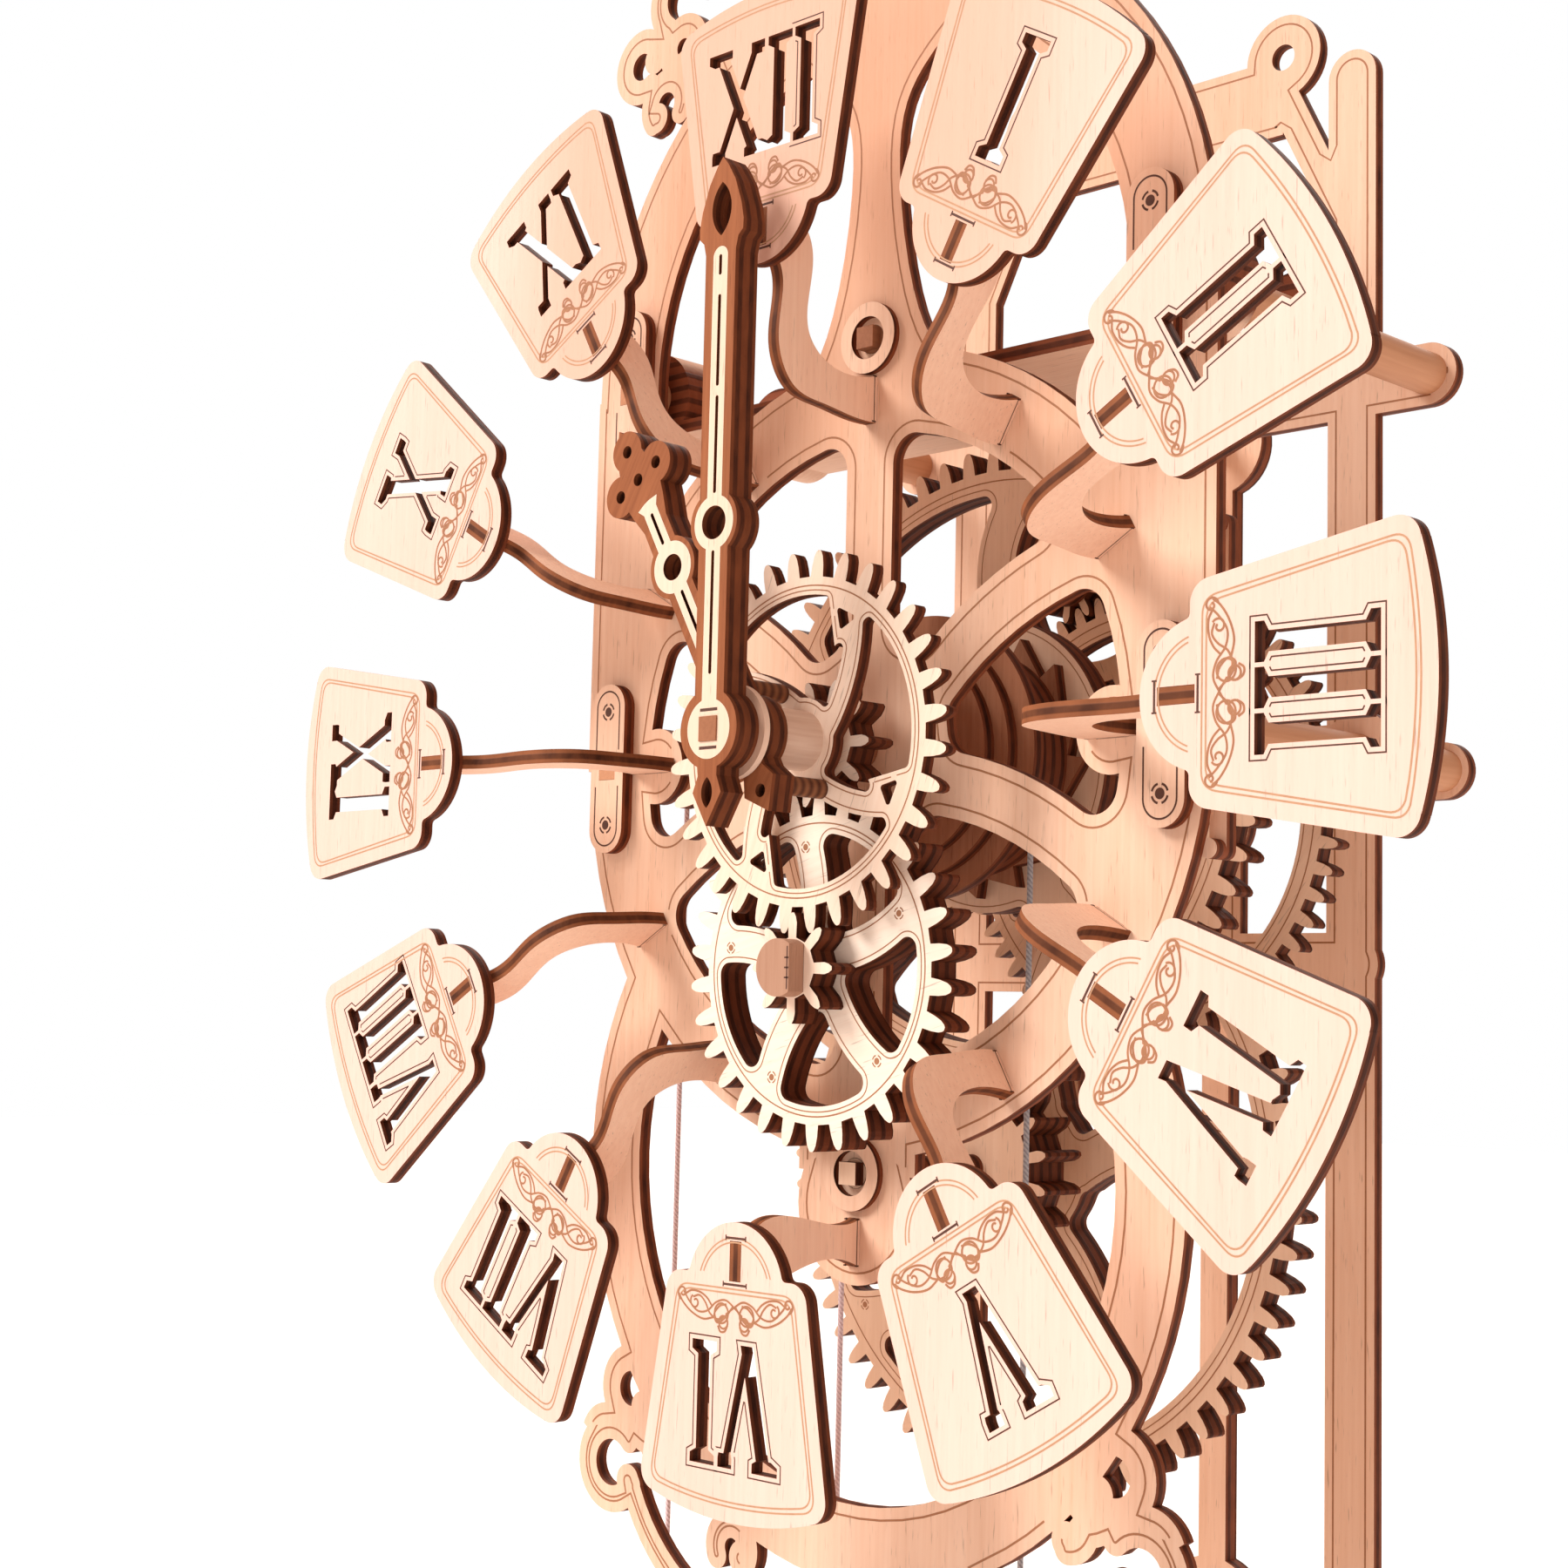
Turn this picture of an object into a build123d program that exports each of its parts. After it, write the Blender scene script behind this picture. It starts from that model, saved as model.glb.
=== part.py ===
import math
import os
from build123d import *

# A weight-driven clock cut from thin plywood sheets, standing on a base board.
# Everything is measured from the dial: x to the right, y backwards from the
# front face of the numeral plates, z up from the centre arbor. At the end each
# piece is moved so that the origin is the middle of the base's underside.
# All lengths are in millimetres.

# Driving sizes of the whole clock
dial_height = 255.0
dial_front = -43.0
base_width = 200.0
base_front = -25.0
base_back = 111.0
ply = 2.0
frame_front = 22.0
middle_front = 64.0
back_front = 86.0
ring_spacing = 57.0
overrun = 1.0

# Fits
slot_gap = 0.05
seat_gap = 0.02
running_gap = 0.06
working_gap = 0.3
end_gap = 0.2

# Numeral plates
plate_inner_r = 69.35
plate_inner_half = 12.36
plate_tall = 28.65
plate_outer_half = 17.21
plate_bulge = 2.0
plate_corner = 2.75
tab_reach = 6.77
tab_r = 8.7
tab_fillet = 0.8
tab_slot_drop = 1.85
tab_slot_long = 5.0
numeral_low_gap = 8.5
numeral_high_gap = 4.65
numeral_room = 22.5
stroke = 2.3
thin_stroke = 1.3
serif_long = 4.5
serif_tall = 1.2
letter_pitch = 5.0
wide_letter = 9.4
numerals = ["I", "II", "III", "IV", "V", "VI", "VII", "VIII", "IX", "X", "XI", "XII"]
hour_step = 360 / len(numerals)
plate_outer_r = plate_inner_r + plate_tall
tab_slot_r = plate_inner_r - tab_slot_drop
numeral_tall = plate_tall - numeral_low_gap - numeral_high_gap
numeral_r = plate_inner_r + numeral_low_gap + numeral_tall / 2

# Arms that carry the plates
foot_r = 48.0
side_foot_r = 42.0
wide_foot_r = 49.4
lower_foot_r = 65.9
foot_long = 4.8
# An arm's edges: how far from the plate (0) to the frame (1), and how far from
# the middle of the foot (0) to the middle of the plate's slot (1).
arm_front_shares = [
    (0.0, 0.82), (0.035, 0.77), (0.04, 0.24), (0.2, -0.05),
    (0.5, -0.115), (0.79, -0.15), (1.0, -0.15),
]
arm_back_shares = [
    (1.0, 0.19), (0.57, 0.16), (0.47, 0.2), (0.335, 0.33),
    (0.32, 1.0), (0.2, 1.14), (0.0, 1.16),
]
# The arm for six is almost straight: its second share is of the slot's length.
low_front_shares = [(0.0, -0.7), (0.04, -0.85), (0.5, -0.98), (1.0, -0.92)]
low_back_shares = [(1.0, 0.36), (0.5, 0.22), (0.32, 0.45), (0.2, 0.62), (0.0, 0.66)]

# Front frame
upper_ring_r = 57.0
upper_opening_r = 44.0
dial_ring_r = 56.5
dial_ring_inner_r = 43.5
dial_ring_edge_r = 55.0
lower_ring_r = 53.7
lower_opening_r = 43.3
rail_half = 57.3
hub_r = 15.0
window_corner = 3.6
spoke_wide = 8.6
spoke_bend = 3.2
# Each spoke of the dial ring: its bearing, and the side that it bows to.
dial_spokes = [(90.0, 0), (30.0, 1), (-25.0, 1), (-90.0, 0), (205.0, -1), (150.0, -1)]
side_lobe_r = 5.6
boss_r = 8.0
lower_boss_r = 10.6
lower_boss_drop = 4.2
neck_half = 4.5
# The upper spoke: how far up its opening, and its half width over the least.
neck_shares = [
    (-0.1, 3.6), (-0.03, 2.7), (0.25, 1.42), (0.53, 1.0),
    (0.76, 1.29), (0.91, 2.67), (1.03, 4.4),
]
leg_wide = 11.0
leg_top_x = 34.0
leg_top_z = -119.5
leg_knee_x = 42.0
leg_knee_z = -150.0
leg_foot_x = 62.0
leg_tenon = 8.0
leg_head_r = 5.5
apron_wide = 7.0
apron_sag = 0.8
apron_top_z = -114.0
apron_boss_r = 6.0
pillar_low_x = 58.0
pillar_low_z = -200.0

# Scroll ornament at the frame's edge
scroll_wide = 3.8
scroll_r = 5.0
leaf_long = 9.0
upper_scroll_x = 45.0
upper_scroll_z = 106.0
lower_scroll_x = 45.0
lower_scroll_z = -98.0
curl_eye_share = 0.62
# Each curl: its centre and radius as shares of the scroll's radius, then the
# bearing where it starts and how far it turns.
upper_curl_shares = [
    (0.96, 0.56, 0.8, -120, 290),
    (-0.2, -0.9, 0.74, -150, -250),
    (-0.9, 0.7, 0.66, -60, 270),
    (-0.8, 2.3, 1.06, -55, 215),
    (-2.1, -0.5, 0.6, -60, 220),
]
lower_curl_shares = [
    (-0.3, 1.5, 0.88, 95, -230),
    (0.5, -0.7, 1.04, 135, -285),
    (-1.7, 0.2, 0.62, 150, -240),
    (-4.6, -2.3, 0.64, -25, 235),
]
# Each leaf: its middle as shares of the scroll's radius, and its lean.
upper_leaf_shares = [(-1.5, 0.2, 20)]
lower_leaf_shares = [(0.9, 0.5, -15), (-0.9, 0.2, 15)]
# The band from the lower scroll to the leg's head, as shares of the scroll's radius.
band_start_shares = (-0.4, -1.3)
band_end_shares = (-2.6, -3.7)
band_sag = 1.2

# Base
base_thick = 6.0
foot_disc_r = 9.0
foot_tall = 5.0
foot_inset = 14.0
edge_round = 6.0

# Back frame and middle plate
rail_x = 36.0
rail_wide = 8.0
back_top_z = 104.0
top_bar_tall = 12.0
eye_x = 24.0
eye_z = 110.0
eye_r = 6.5
eye_hole_r = 2.0
spine_wide = 9.0
pivot_boss_r = 6.0
small_boss_r = 4.6
middle_bar_tall = 9.0
cross_bar_z = -27.0
strut_wide = 5.0

# Pillars, keepers, washers and shelf
pillar_r = 3.0
peg_square = 3.4
pillar_x = 50.8
upper_pillar_x = 48.5
upper_pillar_z = 57.0
keeper_half = 3.6
keeper_long = 25.4
strap_wide = 2.5
strap_low_z = -15.0
strap_high_z = 25.0
strap_front = 26.0
washer_r = 5.0
washer_hole_r = 3.0
washer_thick = 1.1
shelf_z = 51.0
shelf_front = 26.0
shelf_back = 60.0
shelf_tongue = 8.0
hanger_r = 7.0

# Teeth
coarse_module = 1.5
fine_module = 1.2
wheel_tip_share = 1.0
wheel_root_share = 1.35
pinion_tip_share = 0.85
pinion_root_share = 1.3
# Half the tooth's width, as shares of the pitch, at shares of the way from
# the pitch circle to the root (negative) or to the tip (positive).
wheel_flank_shares = [(-1.0, 0.24), (-0.25, 0.215), (0.45, 0.165), (0.85, 0.10), (1.0, 0.045)]
pinion_flank_shares = [(-1.0, 0.15), (0.0, 0.165), (0.6, 0.12), (1.0, 0.05)]

# Trains
hour_teeth = 32
minute_pinion_teeth = 8
minute_teeth = 30
cannon_teeth = 10
great_teeth = 60
second_pinion_teeth = 16
second_teeth = 60
third_pinion_teeth = 10
third_teeth = 54
escape_pinion_teeth = 10
escape_teeth = 30
third_bearing = 76.0
arbor_r = 2.5
small_arbor_r = 2.0
pivot_r = 1.5
hand_square = 3.2
wheel_rim = 3.4
wheel_hub_r = 6.5
escape_spoke = 2.0
wide_spoke = 7.0
window_round = 1.6
small_window_round = 0.8
thin_rim = 2.4
second_hub_r = 10.5
third_spoke = 4.0
wheel_spokes = 5
hour_spokes = 4
hour_spoke = 3.1
hour_spoke_bearing = 65.0
minute_hub_r = 5.6
minute_spoke = 5.0
minute_spoke_bearing = -46.0
# How far a wheel's spokes bow round, in degrees at half their length
great_sweep = 8.0
second_sweep = 12.0
third_sweep = 14.0
escape_sweep = 6.0
# Each spoke's middle line: how far out from the hub (0) to the rim (1), and how
# far it leans round, in degrees.
minute_spoke_shares = [(-0.15, 7), (0.5, -5), (1.1, 1)]
hour_spoke_shares = [(-0.1, -52), (0.34, -22), (1.1, 0)]
# The fork at the rim's end of the hour wheel's spokes, and the hole in it
fork_share = 0.56
fork_half = 13.0
fork_hole_shares = (0.72, 0.92)
fork_hole_half = 6.5
fork_round = 0.4

# The escape wheel's tooth: out at the tip (1) or in at the root (0), and how
# far back from the tip as a share of the step between two teeth.
escape_tooth_shares = [(0, 0.82), (0, 0.33), (1, 0.083), (1, 0.0)]

# Depths along the arbors
wheel_clear = 3.8
motion_thick = 4.8
motion_gap = 1.6
pipe_long = 7.8
hand_washer = 1.0
drum_front = 30.0
drum_step = 2.0
drum_back = 48.0
cord_depth = 37.4
great_front = 48.0
second_pinion_front = 46.0
second_pinion_long = 8.0
second_front = 58.0
third_pinion_front = 57.0
third_pinion_long = 6.0
third_front = 67.0
third_thick = 3.0
escape_front = 72.0
escape_thick = 3.0
escape_pinion_long = 4.4
pendulum_front = 104.5

# Hands
pipe_r = 4.0
post_r = 1.3
hand_hub_r = 5.2
minute_tip = 75.1
# A hand's edge: how far out (1 is the tip), and its half width over the hub's radius.
minute_edge_shares = [
    (0.0, 0.51), (0.83, 0.54), (0.852, 0.62), (0.862, 0.78), (0.88, 0.79),
    (0.91, 0.70), (0.955, 0.46), (0.985, 0.19), (1.0, 0.0),
]
minute_tail_shares = [(0.0, 0.36), (-0.08, 0.33), (-0.109, 0.5), (-0.166, 0.0)]
minute_eye_z = 68.15
minute_eye_long = 7.1
minute_slit_ends = [(59.6, 61.8), (44.9, 56.5), (30.8, 43.1), (7.3, 22.8)]
tail_hole_z = -8.2
tail_hole_long = 3.9
hand_ring_r = 26.7
hand_hole_r = 2.2
inlay_gap = 0.03
inlay_half = 1.35
inlay_ring_r = 3.6
hub_disc_r = 3.9
slit = 0.55
bulge_wide = 0.7
hour_tip = 50.0
hour_edge_shares = [
    (0.0, 0.5), (0.68, 0.46), (0.74, 0.62), (0.80, 0.74), (0.9, 0.5), (0.96, 0.25), (1.0, 0.0),
]
hour_tail_shares = [(0.0, 0.4), (-0.12, 0.36), (-0.165, 0.56), (-0.24, 0.0)]
hour_hole_r = 1.8
hour_lobe_r = 2.9
hour_lobe_x = 4.0
hour_lobe_z = 41.6
hour_crown_z = 46.4
lobe_hole_r = 0.85
hour_slit_ends = [(30.8, 35.5), (7.5, 22.6)]
hour_inlay_end = 37.5
# The inlay's small arrowhead: how far out, and its half width, as in the edges.
hour_arrow_shares = [(0.70, 0.1), (0.75, 0.4), (0.755, 0.1)]
hour_turn_bearing = 30.0
post_reach = 7.6
hour_hub_r = 5.8
cap_r = 3.8
cap_flat = 2.2
cap_tall = 2.8

# Drum, click, weight and cords
drum_r = 16.0
flange_steps = [14.6, 17.0, 19.9]
ratchet_r = 19.0
ratchet_teeth = 16
ratchet_deep = 3.0
ratchet_back_share = 0.083
click_bearing = 160.0
click_lead = 22.0
click_pivot_r = 27.0
click_half = 1.6
cord_r = 0.4
pulley_spread = 35.0
pulley_thick = 6.0
pulley_z = -150.0
pulley_bore_r = 2.0
groove_deep = 2.0
groove_wide = 2.4
cheek_thick = 2.0
cheek_wide = 7.0
cheek_gap = 0.5
tension_r = 9.0
tension_tall = 14.0
weight_r = 11.0
weight_tall = 48.0
weight_top_z = -126.0
hook_tall = 5.0
hook_r = 2.0
weight_chamfer = 2.0
knot_r = 1.6

# Pendulum
anchor_arc = 90.0
pallet_wide = 2.6
pallet_long = 4.6
pallet_lift = 1.35
anchor_wide = 4.0
anchor_sag = 2.0
anchor_hub_r = 5.0
rod_wide = 5.0
rod_thick = 3.0
pendulum_boss_z = -127.0
pendulum_boss_r = 9.0
rod_end_z = -212.0
bob_z = -185.0
bob_r = 21.0
bob_thick = 9.0
bob_rim = 3.0
bob_recess = 0.5
pendulum_hole_r = 2.0


def slab(outline, front, thick=ply):
    """A board cut to an outline of x and z, with its front face at a depth."""
    face = Plane(origin=(0, front, 0), x_dir=(1, 0, 0), z_dir=(0, -1, 0)) * outline
    return extrude(face, amount=thick, dir=(0, 1, 0))


def disc(radius, x=0, z=0):
    """A round outline."""
    return Pos(x, z) * Circle(radius)


def ring(outer, inner, x=0, z=0):
    """A round outline with a round hole."""
    return Pos(x, z) * (Circle(outer) - Circle(inner))


def block(wide, tall, x=0, z=0):
    """A rectangular outline about its middle."""
    return Pos(x, z) * Rectangle(wide, tall)


def shape(points):
    """A closed outline with straight sides."""
    return make_face(Polyline(*points, close=True))


def link(start, end, wide):
    """A straight bar with round ends."""
    along = math.dist(start, end)
    lean = math.degrees(math.atan2(end[1] - start[1], end[0] - start[0]))
    middle = Pos((start[0] + end[0]) / 2, (start[1] + end[1]) / 2)
    return middle * Rot(0, 0, lean) * SlotCenterToCenter(along, wide)


def bow(start, end, wide, sag):
    """A bar along an arc that leaves the straight line by sag."""
    along = math.dist(start, end)
    side = (-(end[1] - start[1]) / along, (end[0] - start[0]) / along)
    middle = ((start[0] + end[0]) / 2 + side[0] * sag, (start[1] + end[1]) / 2 + side[1] * sag)
    return SlotArc(ThreePointArc(start, middle, end), wide)


def polar(radius, bearing):
    """A point at a bearing in degrees from the x axis."""
    turn = math.radians(bearing)
    return (radius * math.cos(turn), radius * math.sin(turn))


def mirrored(outline):
    """An outline with its mirror image across the upright middle line."""
    return outline + mirror(outline, about=Plane.YZ)


def rod(radius, front, back, x=0, z=0):
    """A round bar that runs front to back."""
    return slab(disc(radius, x, z), front, back - front)


def square_bar(side, front, back, x=0, z=0):
    """A square bar that runs front to back."""
    return slab(block(side, side, x, z), front, back - front)


def clock_turn(number):
    """The bearing of an hour on the dial."""
    return 90 - hour_step * number


pieces = {}


def keep(name, *solids):
    """Gather the solids of one node and move them to the base's origin."""
    placed = [Pos(0, dial_front, dial_height) * solid for solid in solids]
    flat = [one for group in placed for one in group.solids()]
    pieces[name] = flat


# Trains: radii and places that follow from the teeth

def pitch_r(teeth, module):
    """The radius of a toothed wheel's pitch circle."""
    return teeth * module / 2


def mesh_turn(bearing, turn_a, teeth_a, teeth_b):
    """The turn that sets wheel b in mesh with wheel a, at a bearing from it."""
    share = ((bearing - turn_a) * teeth_a / 360) % 1
    return bearing + 180 + (share - 1 / 2) * 360 / teeth_b


motion_drop = pitch_r(hour_teeth + minute_pinion_teeth, coarse_module)
second_drop = pitch_r(great_teeth + second_pinion_teeth, coarse_module)
third_reach = pitch_r(second_teeth + third_pinion_teeth, coarse_module)
escape_reach = pitch_r(third_teeth + escape_pinion_teeth, fine_module)
third_x, third_rise = polar(third_reach, third_bearing)
third_z = third_rise - second_drop
escape_z = third_z + math.sqrt(escape_reach ** 2 - third_x ** 2)
anchor_z = ring_spacing
anchor_reach = anchor_z - escape_z
escape_r = anchor_reach * math.cos(math.radians(anchor_arc / 2))
escape_bearing = math.degrees(math.atan2(escape_z - third_z, -third_x))

second_turn = mesh_turn(-90, 0, great_teeth, second_pinion_teeth)
third_turn = mesh_turn(third_bearing, second_turn, second_teeth, third_pinion_teeth)
escape_turn = mesh_turn(escape_bearing, third_turn, third_teeth, escape_pinion_teeth)
minute_turn = mesh_turn(-90, 0, cannon_teeth, minute_teeth)
hour_turn = mesh_turn(90, minute_turn, minute_pinion_teeth, hour_teeth)

# Depths that follow from the stack
frame_back = frame_front + ply
minute_front = frame_front - wheel_clear - motion_thick
hour_front = minute_front - motion_gap - ply
minute_pinion_front = hour_front - (motion_thick - 2 * ply) - running_gap
hour_hand_front = hour_front - pipe_long - 2 * ply
hand_washer_front = hour_hand_front - end_gap - hand_washer
minute_hand_front = hand_washer_front - 2 * ply
keeper_front = frame_front - ply
middle_back = middle_front + ply
back_back = back_front + ply
floor_z = -dial_height
base_low = floor_z + foot_tall
base_top = base_low + base_thick


def teeth_outline(teeth, module, turn, flanks, tip_share, root_share):
    """A ring of straight fingers with rounded tips."""
    pitch = math.pi * module
    middle = pitch_r(teeth, module)
    points = []
    for number in range(teeth):
        bearing = math.radians(turn) + 2 * math.pi * number / teeth
        rows = [(-1, row) for row in flanks] + [(1, row) for row in reversed(flanks)]
        for side, (level, half_share) in rows:
            reach = tip_share if level > 0 else root_share
            radius = middle + level * reach * module
            angle = bearing + side * math.asin(half_share * pitch / radius)
            points.append((radius * math.cos(angle), radius * math.sin(angle)))
    return shape(points)


def wheel_teeth(teeth, module, turn):
    """A wheel's toothed outline."""
    return teeth_outline(teeth, module, turn, wheel_flank_shares, wheel_tip_share, wheel_root_share)


def pinion_teeth(teeth, module, turn):
    """A pinion's toothed outline."""
    return teeth_outline(
        teeth, module, turn, pinion_flank_shares, pinion_tip_share, pinion_root_share
    )


def round_corners(opening, radius):
    """Openings with rounded corners: drawn in by the radius and let out again."""
    rounded = Sketch()
    for face in opening.faces():
        rounded += offset(offset(face, -radius), radius)
    return rounded


def wheel_windows(inner, outer, count, wide, sag, turn, rounding):
    """The openings that leave curved spokes between a hub and a rim."""
    opening = ring(outer, inner)
    middle = (inner + outer) / 2
    for number in range(count):
        bearing = turn + 360 * number / count
        start = polar(inner - rounding, bearing)
        knee = polar(middle, bearing + sag)
        end = polar(outer + rounding, bearing)
        opening -= trace(ThreePointArc(start, knee, end), line_width=wide)
    return round_corners(opening, rounding)


def bent_spoke(inner, outer, bearing, shares, wide):
    """One spoke along an arc through the three points of its table."""
    reach = outer - inner
    middle = [polar(inner + out * reach, bearing + lean) for out, lean in shares]
    return trace(ThreePointArc(*middle), line_width=wide)


def minute_windows(outer):
    """The teardrop openings of the minute wheel."""
    opening = ring(outer, minute_hub_r)
    for number in range(wheel_spokes):
        bearing = minute_spoke_bearing + 360 * number / wheel_spokes
        opening -= bent_spoke(minute_hub_r, outer, bearing, minute_spoke_shares, minute_spoke)
    return round_corners(opening, window_round)


def hour_windows(outer):
    """The hour wheel's openings, with a small hole where each spoke forks at the rim."""
    reach = outer - hour_hub_r
    opening = ring(outer, hour_hub_r)
    holes = Sketch()
    for number in range(hour_spokes):
        bearing = hour_spoke_bearing + 360 * number / hour_spokes
        opening -= bent_spoke(hour_hub_r, outer, bearing, hour_spoke_shares, hour_spoke)
        opening -= shape([
            polar(hour_hub_r + fork_share * reach, bearing),
            polar(outer + overrun, bearing - fork_half),
            polar(outer + overrun, bearing + fork_half),
        ])
        near, far = [hour_hub_r + share * reach for share in fork_hole_shares]
        hole = shape([
            polar(near, bearing),
            polar(far, bearing - fork_hole_half),
            polar(far, bearing + fork_hole_half),
        ])
        holes += round_corners(Sketch() + hole, fork_round)
    return round_corners(opening, small_window_round) + holes


# Numeral plates

def letter_bar(x_low, x_high, wide):
    """A slanting or upright stroke from the letter's foot to its head."""
    half = numeral_tall / 2
    side = wide / 2
    return shape([
        (x_low - side, -half),
        (x_low + side, -half),
        (x_high + side, half),
        (x_high - side, half),
    ])


def serif(x, end, long=serif_long):
    """The foot or head of a stroke, with a tapering bracket."""
    edge = end * numeral_tall / 2
    shoulder = edge - end * serif_tall
    neck = shoulder - end * serif_tall / 2
    half = long / 2
    side = stroke / 2
    return shape([
        (x - half, edge),
        (x + half, edge),
        (x + half, shoulder),
        (x + side, neck),
        (x - side, neck),
        (x - half, shoulder),
    ])


def letter(sign):
    """One Roman letter about its middle."""
    lean = wide_letter / 2 - serif_long / 4
    if sign == "I":
        return letter_bar(0, 0, stroke) + serif(0, 1) + serif(0, -1)
    if sign == "V":
        both = letter_bar(0, -lean, stroke) + letter_bar(0, lean, thin_stroke)
        return both + serif(-lean, 1) + serif(lean, 1, serif_long * thin_stroke / stroke)
    cross = letter_bar(lean, -lean, stroke) + letter_bar(-lean, lean, thin_stroke)
    for end in (1, -1):
        cross += serif(-lean * end, end)
        cross += serif(lean * end, end, serif_long * thin_stroke / stroke)
    return cross


def numeral(text):
    """A Roman numeral about its middle, narrowed where it would be too wide."""
    widths = [letter_pitch if sign == "I" else wide_letter + serif_long / 4 for sign in text]
    total = sum(widths)
    x = -total / 2
    outline = Sketch()
    for sign, wide in zip(text, widths):
        outline += Pos(x + wide / 2, 0) * letter(sign)
        x += wide
    squeeze = min(1, numeral_room / total)
    return scale(outline, by=(squeeze, 1, 1))


def plate_outline():
    """The plate for twelve: a flared board with a round tab below."""
    body = shape([
        (-plate_inner_half, plate_inner_r),
        (plate_inner_half, plate_inner_r),
        (plate_outer_half, plate_outer_r),
        (-plate_outer_half, plate_outer_r),
    ])
    body = fillet(body.vertices(), plate_corner)
    crown = Sketch() + make_face(
        Curve() + [
            ThreePointArc(
                (-plate_outer_half + plate_corner, plate_outer_r),
                (0, plate_outer_r + plate_bulge),
                (plate_outer_half - plate_corner, plate_outer_r),
            ),
            Line(
                (plate_outer_half - plate_corner, plate_outer_r),
                (-plate_outer_half + plate_corner, plate_outer_r),
            ),
        ]
    )
    tab = disc(tab_r, 0, plate_inner_r - tab_reach + tab_r)
    outline = body + crown + tab
    creases = [
        point for point in outline.vertices()
        if abs(point.Y - plate_inner_r) < tab_fillet and abs(point.X) < tab_r + tab_fillet
    ]
    return fillet(creases, tab_fillet)


plate_board = plate_outline() - block(ply + 2 * slot_gap, tab_slot_long + 2 * slot_gap, 0, tab_slot_r)
for number, text in enumerate(numerals, start=1):
    cut = Pos(0, numeral_r) * numeral(text)
    plate = slab(plate_board - cut, 0)
    keep(f"hour_plate_{number}", Rot(0, hour_step * number, 0) * plate)


# Arms

def foot_centre(number):
    """How far from the dial's centre an arm's foot enters the frame."""
    if number == 6:
        return lower_foot_r
    if number in (5, 7):
        return wide_foot_r
    if number in (3, 9):
        return side_foot_r
    return foot_r


def arm(number):
    """A bent arm cut from a board: a leg behind the plate and a run to the frame."""
    foot = foot_centre(number)
    reach = frame_front - ply
    if number == 6:
        front_edge = [(ply + a * reach, tab_slot_r + b * tab_slot_long) for a, b in low_front_shares]
        back_edge = [(ply + a * reach, tab_slot_r + b * tab_slot_long) for a, b in low_back_shares]
    else:
        rise = tab_slot_r - foot
        front_edge = [(ply + a * reach, foot + b * rise) for a, b in arm_front_shares]
        back_edge = [(ply + a * reach, foot + b * rise) for a, b in arm_back_shares]
    outline = make_face(
        Curve() + [
            Spline(*front_edge),
            Line(front_edge[-1], back_edge[0]),
            Spline(*back_edge),
            Line(back_edge[-1], front_edge[0]),
        ]
    )
    outline += Pos(ply / 2, tab_slot_r) * Rectangle(ply, tab_slot_long)
    outline += Pos(frame_front + ply / 2, foot) * Rectangle(ply, foot_long)
    outline += Pos(ply, tab_slot_r) * Rectangle(ply, tab_slot_long / 2)
    side = Plane(origin=(-ply / 2, 0, 0), x_dir=(0, 1, 0), z_dir=(1, 0, 0))
    return extrude(side * outline, amount=ply, dir=(1, 0, 0))


for number in range(1, len(numerals) + 1):
    keep(f"plate_arm_{number}", Rot(0, hour_step * number, 0) * arm(number))


# Front frame

def neck():
    """The spoke that joins the dial ring to the top of the upper ring."""
    low = dial_ring_edge_r
    tall = upper_pillar_z + upper_opening_r - low
    right = [(half * neck_half, low + level * tall) for level, half in neck_shares]
    left = [(-x, z) for x, z in reversed(right)]
    edges = [Spline(*right), Line(right[-1], left[0]), Spline(*left), Line(left[-1], right[0])]
    return make_face(Curve() + edges)


def dial_windows():
    """The openings between the six curved spokes of the dial ring."""
    opening = ring(dial_ring_inner_r, hub_r)
    for bearing, bowed in dial_spokes:
        start = polar(hub_r - window_corner, bearing)
        end = polar(dial_ring_inner_r + window_corner, bearing)
        if bowed:
            opening -= bow(start, end, spoke_wide, bowed * spoke_bend)
        else:
            opening -= link(start, end, spoke_wide)
    return round_corners(opening, window_corner)


def curl(x, z, radius, start, sweep, wide=scroll_wide):
    """A hook of even width that ends in a round eye."""
    arc = CenterArc((x, z), radius, start, sweep)
    eye_x, eye_z = polar(radius - wide / 4, start + sweep)
    return SlotArc(arc, wide) + disc(wide * curl_eye_share, x + eye_x, z + eye_z)


def leaf(x, z, lean, long=leaf_long, plump_share=0.25):
    """A leaf with two points."""
    half = long / 2
    rise = long * plump_share
    edge = ThreePointArc((-half, 0), (0, rise), (half, 0))
    back = ThreePointArc((half, 0), (0, -rise), (-half, 0))
    return Pos(x, z) * Rot(0, 0, lean) * make_face(Curve() + [edge, back])


def ornament(x, z, curls, leaves):
    """One scroll of joined curls and leaves, from its tables of shares."""
    outline = Sketch()
    for right, up, size, start, sweep in curls:
        outline += curl(x + right * scroll_r, z + up * scroll_r, size * scroll_r, start, sweep)
    for right, up, lean in leaves:
        outline += leaf(x + right * scroll_r, z + up * scroll_r, lean)
    return outline


def scrolls():
    """The right half of the ornament above and below the frame."""
    top = ornament(upper_scroll_x, upper_scroll_z, upper_curl_shares, upper_leaf_shares)
    low = ornament(lower_scroll_x, lower_scroll_z, lower_curl_shares, lower_leaf_shares)
    ends = [
        (lower_scroll_x + right * scroll_r, lower_scroll_z + up * scroll_r)
        for right, up in (band_start_shares, band_end_shares)
    ]
    return top + low + bow(*ends, scroll_wide, band_sag)


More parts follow.
